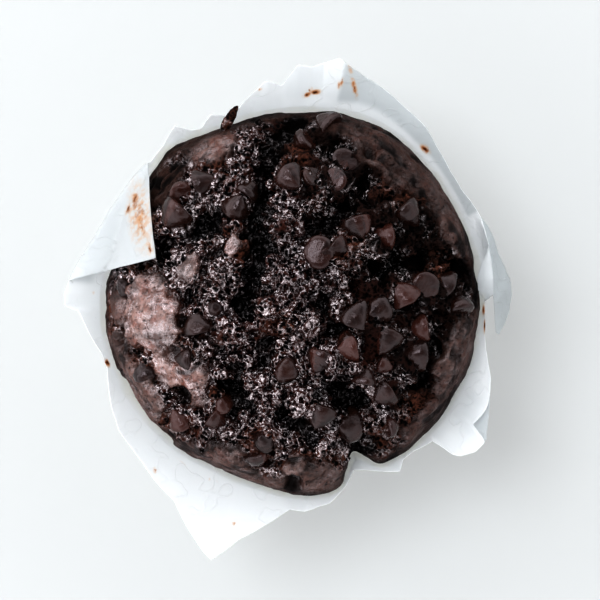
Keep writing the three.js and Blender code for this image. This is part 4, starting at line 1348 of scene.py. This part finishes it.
@dataclass
class PaperCase:
    """The case: a square sheet of baking paper pressed round the muffin, with one corner folded in."""

    crown: Crown
    columns: int = 620
    rows: int = 60
    pressed_rows: float = 0.4  # share of the rows that lie against the crumb
    paper: float = 0.6
    gap: float = 0.35
    foot_radius: float = 28.0
    neck_radius: float = 38.0
    neck_height: float = 42.0
    foot_round: float = 2.5
    fold_from: float = 136.0
    fold_to: float = 174.5
    fold_tip_at: float = 158.0
    fold_tip: tuple[float, float] = (-31.5, 10.2)
    fold_clear: float = 3.6
    pleat_depth: float = 1.2
    pleat_half: float = 2.4
    drawn_thickness: float = 0.14

    def build(self, material: bpy.types.Material) -> list[bpy.types.Object]:
        """Makes the sheet from a grid whose first and last columns meet, and its curled and lower layers.

        Args:
            material: The paper's finish.

        Returns:
            The pieces.
        """
        build = bmesh.new()
        bmesh.ops.create_grid(build, x_segments=self.columns, y_segments=self.rows, size=1.0)
        flat = np.array([v.co for v in build.verts])
        degrees = (flat[:, 0] + 1.0) * 180.0
        row = (flat[:, 1] + 1.0) / 2.0
        column = np.rint((flat[:, 0] + 1.0) / 2.0 * self.columns).astype(int)
        points = np.zeros((len(flat), 3))
        for c in range(self.columns + 1):
            chosen = np.nonzero(column == c)[0]
            points[chosen] = self.run(degrees[chosen[0]] % 360.0, row[chosen])
        for vertex, point in zip(build.verts, points):
            vertex.co = point
        bmesh.ops.remove_doubles(build, verts=build.verts, dist=1e-4)
        bmesh.ops.recalc_face_normals(build, faces=build.faces)
        ridge, outer, lip = CURL
        return [
            self.finish(mesh_from(build, "sheet"), "paper_sheet", material),
            # The curl's outside and inside and the lower layer are painted grey as shade, each to its own
            # share
            self.finish(self.panel(ridge, outer, 0.8), "paper_curl_outside", material, 0.7),
            self.finish(self.panel(ridge[2:6], lip, 0.5), "paper_curl_inside", material, 0.2),
            self.finish(self.panel(*LOWER_LAYER, 0.0), "paper_lower_layer", material, 0.5),
        ]

    def finish(
        self, mesh: bpy.types.Mesh, name: str, material: bpy.types.Material, grey: float = 0.0
    ) -> bpy.types.Object:
        """Crumples a sheet a little, marks its grease, smears and painted grey shade, and gives it its
        thickness.

        Args:
            mesh: The sheet's mesh, in millimetres.
            name: The piece's name.
            material: The paper's finish.
            grey: How grey the whole sheet is at least, as painted shade, from 0 to 1.

        Returns:
            The piece.
        """
        self.crumple(mesh, mesh_points(mesh))
        places = mesh_points(mesh)
        store(mesh, "grease", self.grease(places))
        store(mesh, "shade_grey", np.maximum(self.shade_grey(places), grey))
        store(mesh, "smear", self.smear(places))
        move_points(mesh, places * MM)
        piece = finish_piece(mesh, name, material)
        wall = piece.modifiers.new("thickness", "SOLIDIFY")
        wall.thickness = self.drawn_thickness * MM
        wall.offset = 0.0
        return piece

    def panel(
        self, first: Sequence[tuple[float, ...]], second: Sequence[tuple[float, ...]], bulge: float
    ) -> bpy.types.Mesh:
        """A sheet that spans two lines and bulges upwards between them.

        Args:
            first: Corners of the line that the sheet starts from.
            second: Corners of the line that it ends at.
            bulge: How far it rises midway.

        Returns:
            The sheet's mesh, in millimetres.
        """
        build = bmesh.new()
        bmesh.ops.create_grid(build, x_segments=60, y_segments=16, size=1.0)
        flat = np.array([v.co for v in build.verts])
        along, across = (flat[:, 0] + 1.0) / 2.0, (flat[:, 1] + 1.0) / 2.0
        ends = []
        for line in (first, second):
            corners = np.array(line, float)
            steps = np.linalg.norm(np.diff(corners, axis=0), axis=1)
            length = np.concatenate([[0.0], np.cumsum(steps)]) / steps.sum()
            ends.append(np.stack([np.interp(along, length, corners[:, k]) for k in range(3)], axis=1))
        points = ends[0] + (ends[1] - ends[0]) * across[:, None]
        points[:, 2] += bulge * np.sin(math.pi * across) * np.sin(math.pi * np.clip(along, 0.0, 1.0))
        for vertex, point in zip(build.verts, points):
            vertex.co = point
        return mesh_from(build, "panel")

    def run(self, degrees: float, rows: Values) -> Points:
        """The sheet's middle surface in one direction, from the middle of its floor to its free edge.

        Args:
            degrees: The direction.
            rows: For each point its row's share of all rows, from 0 to 1. The free part has the finer rows.

        Returns:
            The points.
        """
        keys, pressed = self.keys(degrees)
        steps = np.linalg.norm(np.diff(keys, axis=0), axis=1)
        length = np.concatenate([[0.0], np.cumsum(steps)])
        at = np.interp(rows, (0.0, self.pressed_rows, 1.0), (0.0, length[pressed], length[-1]))
        return np.stack([np.interp(at, length, keys[:, k]) for k in range(3)], axis=1)

    def keys(self, degrees: float) -> tuple[Points, int]:
        """The corners of the sheet's course in one direction.

        Args:
            degrees: The direction.

        Returns:
            The corners, and the number of the last that the crumb presses on.
        """
        theta = math.radians(degrees)
        off = self.gap + self.paper / 2
        turns = [abs(float(turn_between(degrees, p))) for p in PLEATS]
        ridge = max(0.0, 1.0 - min(turns) / self.pleat_half)
        found = [(reach, self.paper / 2) for reach in (0.5, self.foot_radius - 1.6)]
        found.append((self.foot_radius + 0.6 * off, 1.4))
        for share in (0.0, 1.0):
            radius = self.foot_radius + (self.neck_radius - self.foot_radius) * share
            height = self.foot_round + (self.neck_height - 2.5 - self.foot_round) * share
            found.append((radius + off + 0.1 + ridge * self.pleat_depth * share, height))
        rim = float(self.crown.rim(np.array([theta]))[0])
        near = self.crown.rim(theta + np.radians([-2.5, 0.0, 2.5]))
        radius = float(np.max(near))
        for climb in (124, 106):
            points, out = self.crown.place(np.array([theta]), np.array([math.radians(climb)]))
            at = points[0] + out[0] * (off + 0.5 + 0.4 * ridge)
            reach = math.hypot(at[0], at[1]) + radius - rim
            found.append((max(reach, self.neck_radius + off + 0.4), at[2]))
        edge_reach, edge_height = self.free_edge(degrees)
        edge_reach = max(edge_reach, rim + 0.7)
        touch = rim + min(1.0, 0.4 * (edge_reach - rim))
        found.append((touch, self.crown.rim_height - 1.2))
        found.append((edge_reach, edge_height))
        keys = np.array([(r * math.cos(theta), r * math.sin(theta), z) for r, z in found])
        if self.fold_from < degrees < self.fold_to:
            keys = np.vstack([keys, self.flap(keys[-1], degrees)])
        return keys, len(found) - 2

    def free_edge(self, degrees: float) -> tuple[float, float]:
        """The free edge in a direction, straight between its corners.

        Args:
            degrees: The direction.

        Returns:
            The edge's reach and height.
        """
        at, reach, height = zip(*FREE_EDGE)
        return (
            float(np.interp(degrees, at, reach, period=360.0)),
            float(np.interp(degrees, at, height, period=360.0)),
        )

    def flap(self, fold: Points, degrees: float) -> Points:
        """The folded corner's course from the fold down onto the crown, to the sheet's edge.

        Args:
            fold: Where the fold lies in this direction.
            degrees: The direction.

        Returns:
            The course's corners.
        """
        ends = []
        for at in (self.fold_from, self.fold_to):
            reach, height = self.free_edge(at)
            theta = math.radians(at)
            ends.append(np.array([reach * math.cos(theta), reach * math.sin(theta), height]))
        tip = np.array([*self.fold_tip, 0.0])
        if degrees < self.fold_tip_at:
            t = (degrees - self.fold_from) / (self.fold_tip_at - self.fold_from)
            edge = ends[0] + (tip - ends[0]) * t
        else:
            t = (self.fold_to - degrees) / (self.fold_to - self.fold_tip_at)
            edge = ends[1] + (tip - ends[1]) * t
        course = []
        for share in np.linspace(0.1, 1.0, 10):
            over = fold + (edge - fold) * share
            rim = float(self.crown.rim(np.array([math.atan2(over[1], over[0])]))[0])
            dome = float(self.crown.dome(min(1.0, math.hypot(over[0], over[1]) / rim)))
            over[2] = max(fold[2] + 1.6 * math.sin(math.pi * share / 2), dome + self.fold_clear)
            course.append(over)
        return np.array(course)

    def crumple(self, mesh: bpy.types.Mesh, places: Points) -> None:
        """Gives the free sheet its soft creases. What touches the crumb stays as it is.

        Args:
            mesh: The sheet's mesh.
            places: Where its vertices are.
        """
        normals = point_normals(mesh)
        free = smooth(places[:, 2], 48.5, 51.0)
        creases = 1.0 - np.abs(clouds(places, 12.0, 501, 2)) * 3.0
        waves = 0.35 * clouds(places, 14.0, 521, 3) + 0.2 * smooth(creases, 0.3, 1.0)
        move_points(mesh, places + normals * (waves * free)[:, None])

    def grease(self, places: Points) -> Values:
        """Where fat from the crumb has soaked the paper: along the crown and down the wall.

        Args:
            places: Places on the sheet.

        Returns:
            How soaked each place is, from 0 to 1.
        """
        theta = np.arctan2(places[:, 1], places[:, 0])
        out = np.hypot(places[:, 0], places[:, 1]) - self.crown.rim(theta)
        near = 1.0 - smooth(out + 1.0 * clouds(places, 5.0, 541, 3), 0.0, 1.2)
        turn = np.abs(turn_between(np.degrees(theta), (self.fold_from + self.fold_to) / 2))
        flap = smooth(places[:, 2], 51.0, 51.5) * (turn < (self.fold_to - self.fold_from) / 2 + 3.0)
        return near * (1.0 - smooth(places[:, 2], 54.0, 56.0)) * (1.0 - flap)

    def shade_grey(self, places: Points) -> Values:
        """Where the free sheet is a single layer over a dark gap, painted grey as shade.

        Args:
            places: Places on the sheet.

        Returns:
            How grey each place is, from 0 to 1.
        """
        degrees = np.degrees(np.arctan2(places[:, 1], places[:, 0])) % 360.0
        share = np.zeros(len(places))
        for start, end, amount in SHADE_SPANS:
            inside = smooth(degrees, start - 0.8, start + 0.8) - smooth(degrees, end - 0.8, end + 0.8)
            share = np.maximum(share, amount * inside)
        return share * smooth(places[:, 2], 48.5, 50.0)

    def smear(self, places: Points) -> Values:
        """Where cocoa has rubbed off on the paper.

        Args:
            places: Places on the sheet.

        Returns:
            How strong the smear is at each place.
        """
        total = np.zeros(len(places))
        for x, y, long, wide, turn, strength in SMEARS:
            cos, sin = math.cos(math.radians(turn)), math.sin(math.radians(turn))
            dx, dy = places[:, 0] - x, places[:, 1] - y
            along, across = (dx * cos + dy * sin) / long, (dy * cos - dx * sin) / wide
            total = np.maximum(total, strength * np.exp(-(along**2 + across**2)))
        return total * smooth(places[:, 2], 48.0, 49.5)


@dataclass
class LooseCrumb:
    """Crags and grains that stand on the rough crumb, each a small lumpy ball of its own."""

    name: str
    count: int
    fineness: int  # subdivisions of each ball
    smallest: float
    largest: float
    sink: float  # of each ball's size
    seed: int
    lump_size: float = 1.3
    lump_height: float = 0.55  # of each ball's size

    def build(self, ground: bpy.types.Object, material: bpy.types.Material) -> bpy.types.Object:
        """Scatters the crumbs over the rough parts of the ground and joins them in one piece.

        Args:
            ground: The crumb that they stand on.
            material: Their finish.

        Returns:
            The piece.
        """
        rng = np.random.default_rng(self.seed)
        mesh = ground.data
        crust = self.read(mesh, "crust")
        deep = self.read(mesh, "deep")
        points, normals = mesh_points(mesh) / MM, point_normals(mesh)
        chance = (1.0 - crust) ** 2 * (1.0 - 0.7 * deep) * smooth(points[:, 2], 54.0, 60.0)
        chance *= 1.0 - under_flap(points)
        chosen = rng.choice(len(points), self.count, p=chance / chance.sum())
        ball, faces = self.ball()
        size = self.smallest + (self.largest - self.smallest) * rng.random(self.count) ** 2
        spots = points[chosen] - normals[chosen] * (size * self.sink)[:, None]
        places = np.concatenate([self.turned(ball, rng) * s + spot for s, spot in zip(size, spots)])
        joined = np.concatenate([faces + k * len(ball) for k in range(self.count)])
        loose = bpy.data.meshes.new(self.name)
        loose.from_pydata(places.tolist(), [], joined.tolist())
        lumpy = clouds(places, self.lump_size, self.seed, 3) * self.lump_height * np.repeat(size, len(ball))
        places += point_normals(loose) * lumpy[:, None]
        for name in ("crust", "shine"):
            store(loose, name, np.zeros(len(places)))
        for name in ("tan", "wet_and_lit"):
            store(loose, name, np.repeat(self.read(mesh, name)[chosen], len(ball)))
        # Each crumb keeps the painted shade of the ground under it, a little weaker
        store(loose, "deep", np.repeat(deep[chosen] * 0.7, len(ball)))
        move_points(loose, places * MM)
        return finish_piece(loose, self.name, material)

    def read(self, mesh: bpy.types.Mesh, name: str) -> Values:
        """Reads what a mesh keeps for its vertices.

        Args:
            mesh: The mesh.
            name: The attribute's name.

        Returns:
            One number for each vertex.
        """
        values = np.zeros(len(mesh.vertices), np.float32)
        mesh.attributes[name].data.foreach_get("value", values)
        return values.astype(float)

    def ball(self) -> tuple[Points, np.ndarray]:
        """Makes one ball of radius 0.5.

        Returns:
            Its points, and the numbers of each face's three points.
        """
        build = bmesh.new()
        bmesh.ops.create_icosphere(build, subdivisions=self.fineness, radius=0.5)
        points = np.array([v.co for v in build.verts])
        faces = np.array([[v.index for v in f.verts] for f in build.faces])
        build.free()
        return points, faces

    def turned(self, ball: Points, rng: np.random.Generator) -> Points:
        """Squeezes a ball at random along its axes and turns it at random.

        Args:
            ball: The ball's points.
            rng: Where the chances come from.

        Returns:
            The changed points.
        """
        turn, _ = np.linalg.qr(rng.normal(size=(3, 3)))
        if np.linalg.det(turn) < 0:
            turn[:, 0] *= -1.0
        return (ball * rng.uniform(0.5, 1.4, 3)) @ turn.T


@dataclass
class Flake:
    """The crisp reddish flake of crust that stands out over the case's edge at the upper left."""

    root: tuple[float, float, float] = (-16.6, 40.6, 55.0)
    tip: tuple[float, float, float] = (-12.9, 46.2, 57.5)
    width: float = 3.2
    thickness: float = 1.0

    def build(self, material: bpy.types.Material) -> bpy.types.Object:
        """Makes the flake from a ball drawn out, flattened and roughened.

        Args:
            material: The flake's finish.

        Returns:
            The piece.
        """
        build = bmesh.new()
        length = (Vector(self.tip) - Vector(self.root)).length
        size = Matrix.Diagonal((self.width, length, self.thickness, 1.0))
        bmesh.ops.create_icosphere(build, subdivisions=5, radius=0.5, matrix=size)
        mesh = mesh_from(build, "flake")
        points = mesh_points(mesh)
        points[:, 0] *= 1.0 - 0.45 * smooth(points[:, 1], -0.3 * length, 0.5 * length)
        points += point_normals(mesh) * (0.55 * clouds(points, 1.6, 611, 3))[:, None]
        turn = Vector((0, 1, 0)).rotation_difference(Vector(self.tip) - Vector(self.root)).to_matrix()
        points = points @ np.array(turn).T + (np.array(self.root) + np.array(self.tip)) / 2
        for name, value in (("crust", 0.25), ("shine", 0.0), ("wet_and_lit", 0.3), ("tan", 1.0), ("deep", 0.0)):
            store(mesh, name, np.full(len(points), value))
        move_points(mesh, points * MM)
        return finish_piece(mesh, "crust_flake", material)


class Glow(Enum):
    """The studio's lights: place in metres, size in metres, power in watts."""

    WINDOW = ((-0.76, 0.46, 2.2), 0.95, 27.0)
    LOWER_PANE = ((-1.7, 0.85, 1.05), 1.2, 4.5)


@dataclass
class Studio:
    """The pale table, the soft light from the left and the camera straight above."""

    view_middle: tuple[float, float] = (1.92, 0.48)
    sharp_height: float = 50.0
    distance: float = 500.0
    lens: float = 125.0
    gamma: float = 0.8
    table: str = "#bbbcbc"
    table_half: float = 3.0  # metres
    daylight: tuple[float, float, float] = (0.93, 0.97, 1.0)
    paint: tuple[float, float, float, float] = (0.98, 0.99, 1.0, 1.0)
    walls: float = 2.45
    ceiling: float = 0.25
    near_window: float = 1.35
    far_from_window: float = 0.75

    def build(self) -> None:
        """Sets the table, the lights, the room and the camera."""
        self.lay_table()
        for glow in Glow:
            self.hang_light(glow)
        self.light_room()
        self.set_camera()

    def lay_table(self) -> None:
        """Lays a plain pale table top, which isn't part of the muffin."""
        build = bmesh.new()
        bmesh.ops.create_grid(build, x_segments=4, y_segments=4, size=self.table_half)
        mesh = mesh_from(build, "table_top")
        material, tree = blank_material("pale_table")
        table_row = {"Base Color": linear(self.table), "Roughness": 0.8}
        shader = add_node(tree, "ShaderNodeBsdfPrincipled", None, table_row)
        add_node(tree, "ShaderNodeOutputMaterial", None, {"Surface": shader})
        mesh.materials.append(material)
        table = bpy.data.objects.new("table_top", mesh)
        bpy.context.scene.collection.objects.link(table)

    def hang_light(self, glow: Glow) -> None:
        """Hangs one square soft light that faces the muffin.

        Args:
            glow: Which light.
        """
        place, size, power = glow.value
        light = bpy.data.lights.new(glow.name.lower(), "AREA")
        light.size = size
        light.energy = power
        light.color = self.daylight
        lamp = bpy.data.objects.new(glow.name.lower(), light)
        lamp.location = place
        muffin = Vector((0.0, 0.0, self.sharp_height * MM))
        lamp.rotation_euler = (muffin - Vector(place)).to_track_quat("-Z", "Y").to_euler()
        bpy.context.scene.collection.objects.link(lamp)

    def light_room(self) -> None:
        """Lights the room from its pale walls, more on the window's side, under a dark ceiling."""
        world = bpy.data.worlds.new("room")
        world.use_nodes = True
        tree = world.node_tree
        tree.nodes.clear()
        way = add_node(tree, "ShaderNodeTexCoord", out="Generated")
        x, y, up = add_node(tree, "ShaderNodeSeparateXYZ", None, (way,)).node.outputs
        walls = add_node(tree, "ShaderNodeMapRange", None, (up, 0.5, 0.95, self.walls, self.ceiling))
        corner = add_node(tree, "ShaderNodeMath", {"operation": "MULTIPLY_ADD"}, (y, -0.6, x))
        side_row = (corner, -1.0, 1.0, self.near_window, self.far_from_window)
        side = add_node(tree, "ShaderNodeMapRange", None, side_row)
        strength = add_node(tree, "ShaderNodeMath", {"operation": "MULTIPLY"}, (walls, side))
        sky = add_node(tree, "ShaderNodeBackground", None, {"Color": self.paint, "Strength": strength})
        add_node(tree, "ShaderNodeOutputWorld", None, {"Surface": sky})
        bpy.context.scene.world = world

    def set_camera(self) -> None:
        """Hangs the camera straight above, with the photograph's frame and its bright, flat tones."""
        lens = bpy.data.cameras.new("camera")
        lens.lens = self.lens
        camera = bpy.data.objects.new("camera", lens)
        x, y = self.view_middle
        camera.location = Vector((x, y, self.sharp_height + self.distance)) * MM
        bpy.context.scene.collection.objects.link(camera)
        bpy.context.scene.camera = camera
        view = bpy.context.scene.view_settings
        view.view_transform = "Standard"
        view.gamma = self.gamma


def main() -> None:
    """Builds the muffin, piece by piece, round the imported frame."""
    logging.basicConfig(level=logging.INFO, format="%(name)s: %(message)s")
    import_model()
    Studio().build()
    crown = Crown()
    crumb = CrumbBody(crown).build(BakedCrumb().material())
    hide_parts("crumb_with_chips")
    baked = crumb.data.materials[0]
    loose = [
        LooseCrumb("crags", 420, 3, 1.2, 3.4, 0.25, 21).build(crumb, baked),
        LooseCrumb("grains", 900, 2, 0.4, 1.1, 0.1, 22).build(crumb, baked),
        Flake().build(baked),
    ]
    for piece in loose:
        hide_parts("crumb_with_chips")
    chips = ChipSet(crown).build(DarkChocolate().material())
    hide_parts("crumb_with_chips")
    for sheet in PaperCase(crown).build(BakingPaper().material()):
        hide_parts("paper_case")


if __name__ == "__main__":
    main()
